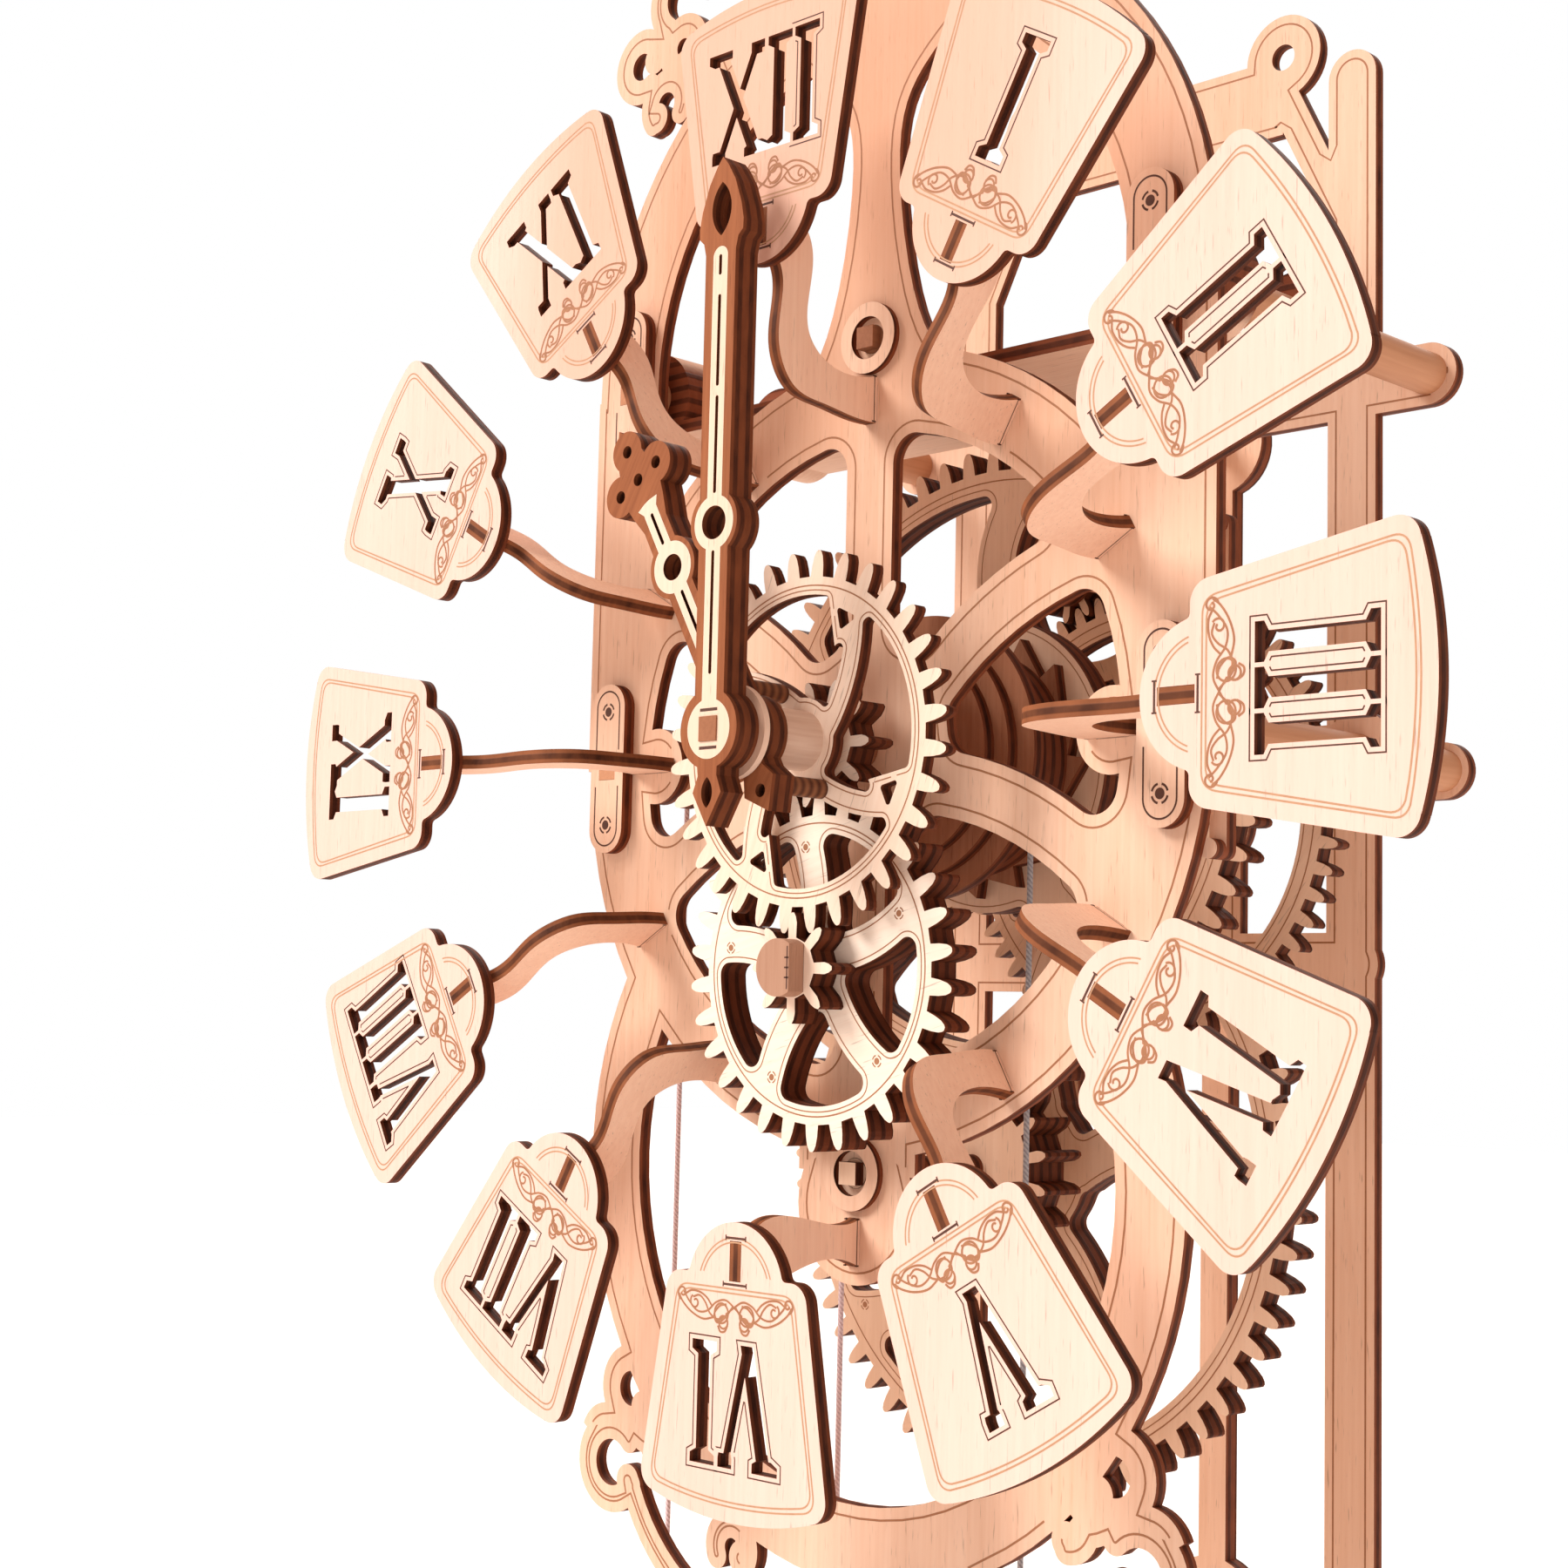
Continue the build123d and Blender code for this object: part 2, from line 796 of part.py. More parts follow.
def front_leg():
    """The right leg from its round head to its tenon in the base."""
    top = (leg_top_x, leg_top_z)
    knee = (leg_knee_x, leg_knee_z)
    low = (pillar_low_x, pillar_low_z)
    foot = (leg_foot_x, base_top - base_thick / 2)
    leg = trace(Spline(top, knee, low, foot), line_width=leg_wide)
    leg -= block(base_width, 2 * base_thick, leg_foot_x, base_top - base_thick)
    leg += disc(leg_head_r, leg_top_x, leg_top_z)
    leg += block(leg_tenon, base_thick, leg_foot_x, base_low + base_thick / 2)
    leg += disc(apron_boss_r, 0, -ring_spacing - lower_ring_r)
    return leg + bow((0, apron_top_z), (leg_top_x, leg_top_z), apron_wide, apron_sag)


def square_hole(x, z):
    """The hole for a pillar's peg."""
    side = peg_square + 2 * slot_gap
    return block(side, side, x, z)


def at_pillars(make):
    """The same outline at every pillar's place."""
    spots = [
        (sign * x, z)
        for sign in (1, -1)
        for x, z in ((pillar_x, 0), (upper_pillar_x, upper_pillar_z), (pillar_low_x, pillar_low_z))
    ]
    outline = Sketch()
    for x, z in spots:
        outline += make(x, z)
    return outline


frame_outline = disc(upper_ring_r, 0, ring_spacing) + disc(dial_ring_r)
frame_outline += block(2 * rail_half, ring_spacing, 0, ring_spacing / 2)
frame_outline += disc(lower_ring_r, 0, -ring_spacing)
frame_outline += mirrored(scrolls() + front_leg())
upper_boss = disc(boss_r, 0, ring_spacing)
lower_boss = disc(lower_boss_r, 0, -ring_spacing - lower_boss_drop)
post_middle = -(ring_spacing + dial_ring_inner_r) / 2
lower_boss += block(2 * lower_boss_r, ring_spacing - dial_ring_inner_r, 0, post_middle)
frame_outline -= disc(upper_opening_r, 0, ring_spacing) - disc(dial_ring_edge_r) - neck() - upper_boss
frame_outline -= disc(lower_opening_r, 0, -ring_spacing) - disc(dial_ring_edge_r) - lower_boss
frame_outline -= dial_windows()
frame_outline += mirrored(disc(side_lobe_r, side_foot_r, 0))
frame_outline -= at_pillars(square_hole)
frame_outline -= disc(arbor_r + running_gap)
frame_outline -= disc(small_arbor_r + running_gap, 0, -motion_drop)
frame_outline -= disc(small_arbor_r + running_gap, 0, -second_drop)
frame_outline -= disc(small_arbor_r + running_gap, 0, anchor_z)
for number in range(1, len(numerals) + 1):
    x, z = polar(foot_centre(number), clock_turn(number))
    slot = Rectangle(foot_long + 2 * slot_gap, ply + 2 * slot_gap)
    frame_outline -= Pos(x, z) * Rot(0, 0, clock_turn(number)) * slot
keep("front_frame", slab(frame_outline, frame_front))


# Back frame

def back_outline():
    """Two side rails on splayed legs, tied by bars that hold the rear pivots."""
    rail = link((rail_x, back_top_z), (rail_x, leg_top_z), rail_wide)
    rail += link((rail_x, leg_top_z), (pillar_low_x, pillar_low_z), rail_wide)
    rail += link((pillar_low_x, pillar_low_z), (leg_foot_x, base_top), rail_wide)
    rail += disc(pivot_boss_r, pillar_low_x, pillar_low_z)
    rail -= block(base_width, 2 * base_thick, leg_foot_x, base_top - base_thick)
    rail += block(leg_tenon, base_thick, leg_foot_x, base_low + base_thick / 2)
    rail += link((rail_x, 0), (pillar_x, 0), rail_wide)
    rail += disc(eye_r, eye_x, eye_z)
    rail += link((eye_x, back_top_z), (rail_x, back_top_z - 2 * top_bar_tall), strut_wide)
    rail -= disc(eye_hole_r, eye_x, eye_z)
    outline = mirrored(rail)
    outline += block(2 * eye_x, top_bar_tall, 0, back_top_z)
    outline -= mirrored(disc(eye_hole_r, eye_x, eye_z))
    outline += link((-upper_pillar_x, upper_pillar_z), (upper_pillar_x, upper_pillar_z), spine_wide)
    outline += link((-rail_x, cross_bar_z), (rail_x, cross_bar_z), spine_wide)
    outline += link((0, anchor_z), (0, escape_z), spine_wide)
    outline += link((0, escape_z), (third_x, third_z), spine_wide)
    outline += link((third_x, third_z), (third_x, cross_bar_z), spine_wide)
    outline += disc(boss_r, 0, anchor_z)
    outline += disc(pivot_boss_r, third_x, third_z)
    outline += disc(pivot_boss_r, 0, escape_z)
    return outline


back_board = back_outline() - at_pillars(square_hole)
for x, z in ((third_x, third_z), (0, escape_z)):
    back_board -= disc(pivot_r + running_gap, x, z)
back_board -= disc(small_arbor_r + running_gap, 0, anchor_z)
keep("back_frame", slab(back_board, back_front))


# Movement plate between the frames

middle_board = link((-pillar_x, 0), (pillar_x, 0), middle_bar_tall)
middle_board += mirrored(disc(pivot_boss_r, pillar_x, 0))
middle_board += link((0, 0), (0, -second_drop), middle_bar_tall)
middle_board += disc(pivot_boss_r, 0, -second_drop)
middle_board += disc(pivot_boss_r, third_x, third_z)
middle_board += disc(boss_r)
middle_board += bow((rail_x, 0), (0, escape_z), strut_wide, -boss_r)
middle_board += disc(small_boss_r, 0, escape_z)
middle_board -= mirrored(disc(pillar_r + seat_gap, pillar_x, 0))
middle_board -= disc(arbor_r + running_gap)
middle_board -= disc(small_arbor_r + running_gap, 0, -second_drop)
middle_board -= disc(small_arbor_r + running_gap, third_x, third_z)
middle_board -= disc(pivot_r + running_gap, 0, escape_z)
keep("movement_plate", slab(middle_board, middle_front))


# Pillars, keepers, washers and the shelf

def pillar(x, z, front):
    """A round pillar with a square peg at each end."""
    body = rod(pillar_r, frame_back, back_front, x, z)
    body += square_bar(peg_square, front, frame_back, x, z)
    return body + square_bar(peg_square, back_front, back_back, x, z)


pillars = []
for sign in (1, -1):
    pillars.append(pillar(sign * pillar_x, 0, keeper_front))
    pillars.append(pillar(sign * upper_pillar_x, upper_pillar_z, keeper_front))
    pillars.append(pillar(sign * pillar_low_x, pillar_low_z, frame_front))
keep("frame_pillars", *pillars)

fittings = []
strap_x = pillar_x + pillar_r + slot_gap + strap_wide / 2
for sign in (1, -1):
    for x, z in ((pillar_x, 0), (upper_pillar_x, upper_pillar_z)):
        capsule = Pos(sign * x, z) * Rot(0, 0, 90) * SlotOverall(keeper_long, 2 * keeper_half)
        fittings.append(slab(capsule - square_hole(sign * x, z), keeper_front))
    ends = ((sign * strap_x, strap_low_z), (sign * strap_x, strap_high_z))
    strap = slab(link(*ends, strap_wide), strap_front)
    for x, z in ends:
        strap += rod(strap_wide / 2, frame_back, strap_front, x, z)
    fittings.append(strap)
for z in (anchor_z, -second_drop):
    frame_washer = ring(washer_r, washer_hole_r, 0, z)
    fittings.append(slab(frame_washer, frame_front - washer_thick, washer_thick))
keep("frame_fittings", *fittings)

shelf_face = Plane.XY.offset(shelf_z) * Pos(0, (shelf_front + shelf_back) / 2)
shelf = extrude(shelf_face * Rectangle(2 * upper_pillar_x, shelf_back - shelf_front), amount=ply)
for sign in (1, -1):
    hanger = disc(hanger_r, sign * upper_pillar_x, upper_pillar_z)
    shelf += slab(hanger, shelf_front, shelf_tongue)
    shelf += slab(hanger, shelf_back - shelf_tongue, shelf_tongue)
shelf_holes = disc(small_arbor_r + working_gap, 0, anchor_z)
shelf_holes += mirrored(disc(pillar_r + seat_gap, upper_pillar_x, upper_pillar_z))
shelf -= slab(shelf_holes, shelf_front - overrun, shelf_back - shelf_front + 2 * overrun)
keep("top_shelf", shelf)


# Base

base_middle = (base_front + base_back) / 2
base_depth = base_back - base_front
base_face = Plane.XY.offset(base_low) * Pos(0, base_middle)
base = extrude(base_face * RectangleRounded(base_width, base_depth, edge_round), amount=base_thick)
for front in (frame_front, back_front):
    for sign in (1, -1):
        slot_x = sign * leg_foot_x
        slot_middle = base_low + base_thick / 2
        slot = block(leg_tenon + 2 * slot_gap, base_thick + 2 * overrun, slot_x, slot_middle)
        base -= slab(slot, front - slot_gap, ply + 2 * slot_gap)
keep("base_board", base)

feet = []
foot_face = Plane.XY.offset(floor_z)
for x in (-base_width / 2 + foot_inset, base_width / 2 - foot_inset):
    for y in (base_front + foot_inset, base_back - foot_inset):
        feet.append(extrude(foot_face * Pos(x, y) * Circle(foot_disc_r), amount=foot_tall))
keep("base_feet", *feet)


# Centre arbor, its wheels and the minute hand

arbor = rod(arbor_r, hand_washer_front, middle_back - end_gap)
arbor += square_bar(hand_square, minute_hand_front - end_gap, hand_washer_front)
keep("centre_arbor", arbor)

great_root = pitch_r(great_teeth, coarse_module) - wheel_root_share * coarse_module
great = wheel_teeth(great_teeth, coarse_module, 0)
click_spoke = click_bearing - great_sweep
great -= wheel_windows(
    ratchet_r + ply, great_root - wheel_rim, wheel_spokes, wide_spoke,
    great_sweep, click_spoke, window_round,
)
great -= disc(arbor_r + seat_gap)
click_x, click_z = polar(click_pivot_r, click_bearing)
great_solid = slab(great, great_front, 2 * ply)
great_solid += rod(pivot_r, great_front - ply, great_front, click_x, click_z)
keep("great_wheel", great_solid)

cannon = pinion_teeth(cannon_teeth, coarse_module, 0) - disc(arbor_r + seat_gap)
keep("cannon_pinion", slab(cannon, minute_front, motion_thick))


def hand_edge(shares, long):
    """A hand's blade from a table of shares, the same on both sides."""
    right = [(half * hand_hub_r, reach * long) for reach, half in shares]
    left = [(-x, z) for x, z in reversed(right) if x > 0]
    return shape(right + left)


def inlay_outline(end, ring_hole, slits):
    """The pale strip set into a hand, with its ring, its hub disc and its slits."""
    outline = link((0, 0), (0, end - inlay_half), 2 * inlay_half)
    outline += disc(inlay_ring_r, 0, hand_ring_r) + disc(hub_disc_r)
    outline -= disc(ring_hole, 0, hand_ring_r)
    for low, high in slits:
        outline -= link((0, low), (0, high), slit)
    return outline


def hand(blade, inlay_area, holes, front):
    """Two boards glued together, the front one with a recess for the inlay."""
    back_board = blade - holes
    recess = offset(inlay_area, inlay_gap)
    front_board = blade - holes - recess
    return slab(back_board, front + ply), slab(front_board, front)


minute_blade = hand_edge(minute_edge_shares, minute_tip) + hand_edge(minute_tail_shares, minute_tip)
minute_blade += disc(hand_hub_r) + disc(inlay_ring_r + bulge_wide, 0, hand_ring_r)
hand_end = minute_slit_ends[0][1] + inlay_half
minute_strip = inlay_outline(hand_end, hand_hole_r, [])
minute_holes = disc(hand_hole_r, 0, hand_ring_r)
minute_holes += leaf(0, minute_eye_z, 90, minute_eye_long)
minute_holes += leaf(0, tail_hole_z, 90, tail_hole_long)
minute_holes += block(hand_square + 2 * seat_gap, hand_square + 2 * seat_gap)
back_board, front_board = hand(minute_blade, minute_strip + minute_holes, minute_holes, minute_hand_front)
washer = slab(ring(hand_hub_r + ply / 2, arbor_r + seat_gap), hand_washer_front, hand_washer)
keep("minute_hand", back_board + front_board, washer)
minute_inlay = inlay_outline(hand_end, hand_hole_r, minute_slit_ends)
minute_inlay -= block(hand_square + 2 * seat_gap, hand_square + 2 * seat_gap)
keep("minute_hand_inlay", slab(minute_inlay, minute_hand_front))


# Hour wheel, its pipe and the hour hand

hour_root = pitch_r(hour_teeth, coarse_module) - wheel_root_share * coarse_module
hour_board = wheel_teeth(hour_teeth, coarse_module, hour_turn)
hour_board -= hour_windows(hour_root - thin_rim)
hour_board -= disc(arbor_r + running_gap)
keep("hour_wheel", slab(hour_board, hour_front))

tail_post = polar(post_reach, 90 + hour_turn_bearing)
head_post = polar(post_reach, hour_turn_bearing - 90)
pipe_front = hour_hand_front + 2 * ply
pipe = slab(ring(pipe_r, arbor_r + running_gap), pipe_front, pipe_long)
posts = [rod(post_r, pipe_front, pipe_front + pipe_long, x, z) for x, z in (tail_post, head_post)]
keep("hour_pipe", pipe, *posts)

hour_blade = hand_edge(hour_edge_shares, hour_tip) + hand_edge(hour_tail_shares, hour_tip)
hour_blade += disc(hand_hub_r) + disc(inlay_ring_r + bulge_wide, 0, hand_ring_r)
hour_blade += mirrored(disc(hour_lobe_r, hour_lobe_x, hour_lobe_z)) + disc(hour_lobe_r, 0, hour_crown_z)
hour_strip = inlay_outline(hour_inlay_end, hour_hole_r, [])
hour_strip += hand_edge(hour_arrow_shares, hour_tip)
hour_holes = disc(hour_hole_r, 0, hand_ring_r) + disc(arbor_r + running_gap)
hour_holes += mirrored(disc(lobe_hole_r, hour_lobe_x, hour_lobe_z))
hour_holes += disc(lobe_hole_r, 0, hour_crown_z) + disc(lobe_hole_r, 0, hour_lobe_z)
hour_holes += disc(lobe_hole_r, 0, -post_reach - post_r)
back_board, front_board = hand(hour_blade, hour_strip + hour_holes, hour_holes, hour_hand_front)
hour_pose = Rot(0, -hour_turn_bearing, 0)
keep("hour_hand", hour_pose * (back_board + front_board))
hour_inlay = hour_strip - hour_holes
for low, high in hour_slit_ends:
    hour_inlay -= link((0, low), (0, high), slit)
keep("hour_hand_inlay", hour_pose * slab(hour_inlay, hour_hand_front))


# Minute wheel and pinion, which turn together under the centre

minute_root = pitch_r(minute_teeth, coarse_module) - wheel_root_share * coarse_module
minute_board = wheel_teeth(minute_teeth, coarse_module, minute_turn)
minute_board -= minute_windows(minute_root - thin_rim)
minute_board -= disc(small_arbor_r + seat_gap)
keep("minute_wheel", slab(Pos(0, -motion_drop) * minute_board, minute_front, motion_thick))

motion_leaves = Pos(0, -motion_drop) * pinion_teeth(minute_pinion_teeth, coarse_module, minute_turn)
minute_pinion = slab(motion_leaves, minute_pinion_front, minute_front - minute_pinion_front)
minute_pinion += rod(small_arbor_r, minute_front, frame_back, 0, -motion_drop)
cap_front = minute_pinion_front - cap_tall
cap = disc(cap_r, 0, -motion_drop)
cap -= block(cap_r, 2 * cap_r + overrun, cap_flat + cap_r / 2, -motion_drop)
minute_pinion += slab(cap, cap_front, cap_tall)
keep("minute_pinion", minute_pinion)


# Second, third and escape wheels

second_board = wheel_teeth(second_teeth, coarse_module, second_turn)
second_board -= wheel_windows(
    second_hub_r, great_root - wheel_rim, wheel_spokes, wide_spoke, second_sweep, 0, window_round
)
second_board -= disc(small_arbor_r + seat_gap)
keep("second_wheel", slab(Pos(0, -second_drop) * second_board, second_front, 2 * ply))

peg_front = frame_front - washer_thick - slot_gap - ply / 4
peg_side = pivot_r * 2
second_leaves = Pos(0, -second_drop) * pinion_teeth(second_pinion_teeth, coarse_module, second_turn)
second_arbor = rod(small_arbor_r, frame_front - slot_gap, middle_back - end_gap, 0, -second_drop)
second_arbor += square_bar(peg_side, peg_front, frame_front, 0, -second_drop)
second_arbor += slab(second_leaves, second_pinion_front, second_pinion_long)
keep("second_pinion", second_arbor)

third_root = pitch_r(third_teeth, fine_module) - wheel_root_share * fine_module
third_board = wheel_teeth(third_teeth, fine_module, third_turn)
third_board -= wheel_windows(
    wheel_hub_r, third_root - wheel_rim, wheel_spokes, third_spoke, third_sweep, 0, small_window_round
)
third_board -= disc(small_arbor_r + seat_gap)
keep("third_wheel", slab(Pos(third_x, third_z) * third_board, third_front, third_thick))

pivot_back = back_back - end_gap
third_leaves = Pos(third_x, third_z) * pinion_teeth(third_pinion_teeth, coarse_module, third_turn)
third_arbor = slab(third_leaves, third_pinion_front, third_pinion_long)
third_arbor += rod(small_arbor_r, third_pinion_front - end_gap, back_front - end_gap, third_x, third_z)
third_arbor += rod(pivot_r, back_front - end_gap, pivot_back, third_x, third_z)
keep("third_pinion", third_arbor)


def escape_outline():
    """Thirty slanted teeth with sharp tips round a rim with five spokes."""
    points = []
    step = 360 / escape_teeth
    for number in range(escape_teeth):
        tip = number * step
        for out, back in escape_tooth_shares:
            radius = escape_r if out else escape_r - wheel_rim
            points.append(polar(radius, tip - step * back))
    board = shape(points)
    inner = escape_r - 2 * wheel_rim
    windows = wheel_windows(
        anchor_hub_r, inner, wheel_spokes, escape_spoke, escape_sweep, 90, small_window_round
    )
    return board - windows


escape_board = escape_outline() - disc(small_arbor_r + seat_gap)
keep("escape_wheel", slab(Pos(0, escape_z) * escape_board, escape_front, escape_thick))
fine_leaves = Pos(0, escape_z) * pinion_teeth(escape_pinion_teeth, fine_module, escape_turn)
leaves_front = third_front - (escape_pinion_long - third_thick) / 2
escape_arbor = slab(fine_leaves, leaves_front, escape_pinion_long)
escape_arbor += rod(pivot_r, middle_front + end_gap, middle_back + end_gap, 0, escape_z)
escape_arbor += rod(small_arbor_r, middle_back + end_gap, back_front - end_gap, 0, escape_z)
escape_arbor += rod(pivot_r, back_front - end_gap, pivot_back, 0, escape_z)
keep("escape_pinion", escape_arbor)


# Anchor and pendulum

anchor_board = disc(anchor_hub_r, 0, anchor_z)
for side in (1, -1):
    bearing = 90 - side * anchor_arc / 2
    near = escape_r + pallet_lift
    inner_x, inner_z = polar(near + pallet_long / 2, bearing)
    nib = Rot(0, 0, bearing) * Rectangle(pallet_long, pallet_wide)
    anchor_board += Pos(inner_x, escape_z + inner_z) * nib
    outer_x, outer_z = polar(near + pallet_long, bearing)
    anchor_board += bow((0, anchor_z), (outer_x, escape_z + outer_z), anchor_wide, side * anchor_sag)
anchor_board -= disc(small_arbor_r + seat_gap, 0, anchor_z)
keep("anchor", slab(anchor_board, escape_front, escape_thick))

rod_back = pendulum_front + rod_thick
swing_arbor = rod(small_arbor_r, frame_front - slot_gap, rod_back + ply / 2, 0, anchor_z)
swing_arbor += square_bar(peg_side, peg_front, frame_front, 0, anchor_z)
keep("pendulum_arbor", swing_arbor)

rod_board = link((0, anchor_z), (0, rod_end_z), rod_wide)
rod_board += disc(boss_r, 0, anchor_z) + disc(pendulum_boss_r, 0, pendulum_boss_z)
rod_board -= disc(small_arbor_r + seat_gap, 0, anchor_z) + disc(pendulum_hole_r, 0, pendulum_boss_z)
keep("pendulum_rod", slab(rod_board, pendulum_front, rod_thick))

bob_front = pendulum_front + rod_thick / 2 - bob_thick / 2
bob = rod(bob_r, bob_front, bob_front + bob_thick, 0, bob_z)
for face_front in (bob_front - overrun, bob_front + bob_thick - bob_recess):
    bob -= slab(ring(bob_r - bob_rim, pendulum_boss_r, 0, bob_z), face_front, overrun + bob_recess)
tunnel = block(rod_wide + 2 * running_gap, 3 * bob_r, 0, bob_z)
bob -= slab(tunnel, pendulum_front - running_gap, rod_thick + 2 * running_gap)
keep("pendulum_bob", bob)


# Cord drum and click

drum = Part()
for number, radius in enumerate(flange_steps):
    drum += rod(radius, drum_front + number * drum_step, drum_front + (number + 1) * drum_step)
ratchet_points = []
ratchet_step = 360 / ratchet_teeth
for number in range(ratchet_teeth):
    tip = number * ratchet_step
    ratchet_points.append(polar(ratchet_r, tip))
    ratchet_points.append(polar(ratchet_r - ratchet_deep, tip + ratchet_step * ratchet_back_share))
drum += rod(drum_r, drum_front + len(flange_steps) * drum_step, drum_back - drum_step)
drum += slab(shape(ratchet_points), drum_back - drum_step - running_gap, drum_step)
drum -= rod(arbor_r + running_gap, drum_front - overrun, drum_back + overrun)
keep("cord_drum", drum)

click_tip = polar(ratchet_r + working_gap + click_half, click_bearing - click_lead)
click_board = link((click_x, click_z), click_tip, 2 * click_half) + disc(click_half * 2, click_x, click_z)
click_board -= disc(pivot_r + running_gap, click_x, click_z)
keep("click", slab(click_board, great_front - ply - running_gap))


# Weights, pulley and cords

cord_x = drum_r + cord_r + working_gap
pulley_r = pulley_spread / 2
pulley_x = -cord_x - pulley_r
fixed_x = -cord_x - pulley_spread
groove_r = pulley_r - cord_r - working_gap
rim_r = groove_r + groove_deep
weight_low = weight_top_z - hook_tall - weight_tall


def upright(profile, x):
    """A turned piece about an upright axis at the cords' depth."""
    side = Plane(origin=(x, cord_depth, 0), x_dir=(1, 0, 0), z_dir=(0, -1, 0))
    return revolve(side * profile, Axis((x, cord_depth, 0), (0, 0, 1)))


weight_shoulder = weight_low + weight_tall
weight_profile = shape([
    (0, weight_low),
    (weight_r - weight_chamfer, weight_low),
    (weight_r, weight_low + weight_chamfer),
    (weight_r, weight_shoulder - 2 * weight_chamfer),
    (weight_r - 2 * weight_chamfer, weight_shoulder),
    (hook_r, weight_shoulder),
    (hook_r, weight_top_z),
    (0, weight_top_z),
])
keep("drive_weight", upright(weight_profile, cord_x))

pulley_front = cord_depth - pulley_thick / 2
pulley = rod(rim_r, pulley_front, pulley_front + pulley_thick, pulley_x, pulley_z)
groove = ring(rim_r + overrun, groove_r, pulley_x, pulley_z)
pulley -= slab(groove, cord_depth - groove_wide / 2, groove_wide)
bore = disc(pulley_bore_r + running_gap, pulley_x, pulley_z)
pulley -= slab(bore, pulley_front - overrun, pulley_thick + 2 * overrun)
keep("tension_pulley", pulley)

cheek_front = pulley_front - cheek_gap - cheek_thick
cheek_back = pulley_front + pulley_thick + cheek_gap + cheek_thick
tension_top = pulley_z - rim_r - ply
tension_low = tension_top - tension_tall
cheek = link((pulley_x, pulley_z), (pulley_x, tension_top - cheek_thick), cheek_wide)
tension = slab(cheek, cheek_front, cheek_thick) + slab(cheek, cheek_back - cheek_thick, cheek_thick)
tension += rod(pulley_bore_r, cheek_front, cheek_back, pulley_x, pulley_z)
tension_profile = shape([
    (0, tension_low),
    (tension_r - weight_chamfer, tension_low),
    (tension_r, tension_low + weight_chamfer),
    (tension_r, tension_top - weight_chamfer),
    (tension_r - weight_chamfer, tension_top),
    (0, tension_top),
])
tension += upright(tension_profile, pulley_x)
keep("tension_weight", tension)


def cord(edges):
    """A round cord swept along straight runs and arcs in the x z plane."""
    plane = Plane(origin=(0, cord_depth, 0), x_dir=(1, 0, 0), z_dir=(0, -1, 0))
    path = plane * (Curve() + edges)
    wire = Wire(path.edges())
    return sweep(Plane(origin=wire @ 0, z_dir=wire % 0) * Circle(cord_r), path=wire)


half_turn = CenterArc((0, 0), cord_x, 0, 90)
drive_run = Line((cord_x, weight_top_z + running_gap), (cord_x, 0))
keep("drive_cord", cord([drive_run, half_turn]))

knot_z = -math.sqrt((pillar_r + knot_r + slot_gap) ** 2 - (fixed_x + pillar_x) ** 2)
over_top = CenterArc((0, 0), cord_x, 90, 90)
first_fall = Line((-cord_x, 0), (-cord_x, pulley_z))
round_pulley = CenterArc((pulley_x, pulley_z), pulley_r, 0, -180)
second_fall = Line((fixed_x, pulley_z), (fixed_x, knot_z))
knot = Pos(fixed_x, cord_depth, knot_z) * Sphere(knot_r)
keep("tension_cord", cord([over_top, first_fall, round_pulley, second_fall]) + knot)

os.makedirs("parts", exist_ok=True)
for name, solids in pieces.items():
    export_step(Compound(children=solids), f"parts/{name}.step")
print(len(pieces), "nodes")
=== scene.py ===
import math
import bpy
import numpy as np
from mathutils import Euler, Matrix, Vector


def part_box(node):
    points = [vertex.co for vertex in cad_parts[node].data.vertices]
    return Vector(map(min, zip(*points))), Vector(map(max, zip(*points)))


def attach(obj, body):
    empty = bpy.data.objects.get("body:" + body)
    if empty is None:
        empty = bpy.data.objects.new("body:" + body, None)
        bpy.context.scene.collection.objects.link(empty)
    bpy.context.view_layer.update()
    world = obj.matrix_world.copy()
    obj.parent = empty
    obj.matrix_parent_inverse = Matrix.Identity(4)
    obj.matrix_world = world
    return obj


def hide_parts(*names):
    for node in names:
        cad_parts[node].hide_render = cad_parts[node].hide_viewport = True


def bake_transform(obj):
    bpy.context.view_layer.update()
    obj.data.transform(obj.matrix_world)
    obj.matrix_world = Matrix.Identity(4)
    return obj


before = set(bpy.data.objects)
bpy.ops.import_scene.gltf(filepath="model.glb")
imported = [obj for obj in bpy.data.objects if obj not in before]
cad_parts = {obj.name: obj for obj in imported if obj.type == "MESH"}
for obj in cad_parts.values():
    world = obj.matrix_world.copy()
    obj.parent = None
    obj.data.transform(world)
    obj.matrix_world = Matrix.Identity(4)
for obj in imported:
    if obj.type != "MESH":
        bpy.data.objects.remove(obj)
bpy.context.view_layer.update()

# The studio: a wide pale table top before a plain white wall, soft daylight from
# high on the left in front, a weaker light from behind, and a warm glow all round.
# The camera stands close to the dial on its right, a little below the middle.


def grid_faces(rows, columns, closed=False):
    """The quads of a grid of rows by columns, joined end to end where closed."""
    across = np.arange(columns if closed else columns - 1)
    first = np.arange(rows - 1)[:, None] * columns + across
    second = np.arange(rows - 1)[:, None] * columns + (across + 1) % columns
    return np.stack([first, second, second + columns, first + columns], axis=-1).reshape(-1, 4)


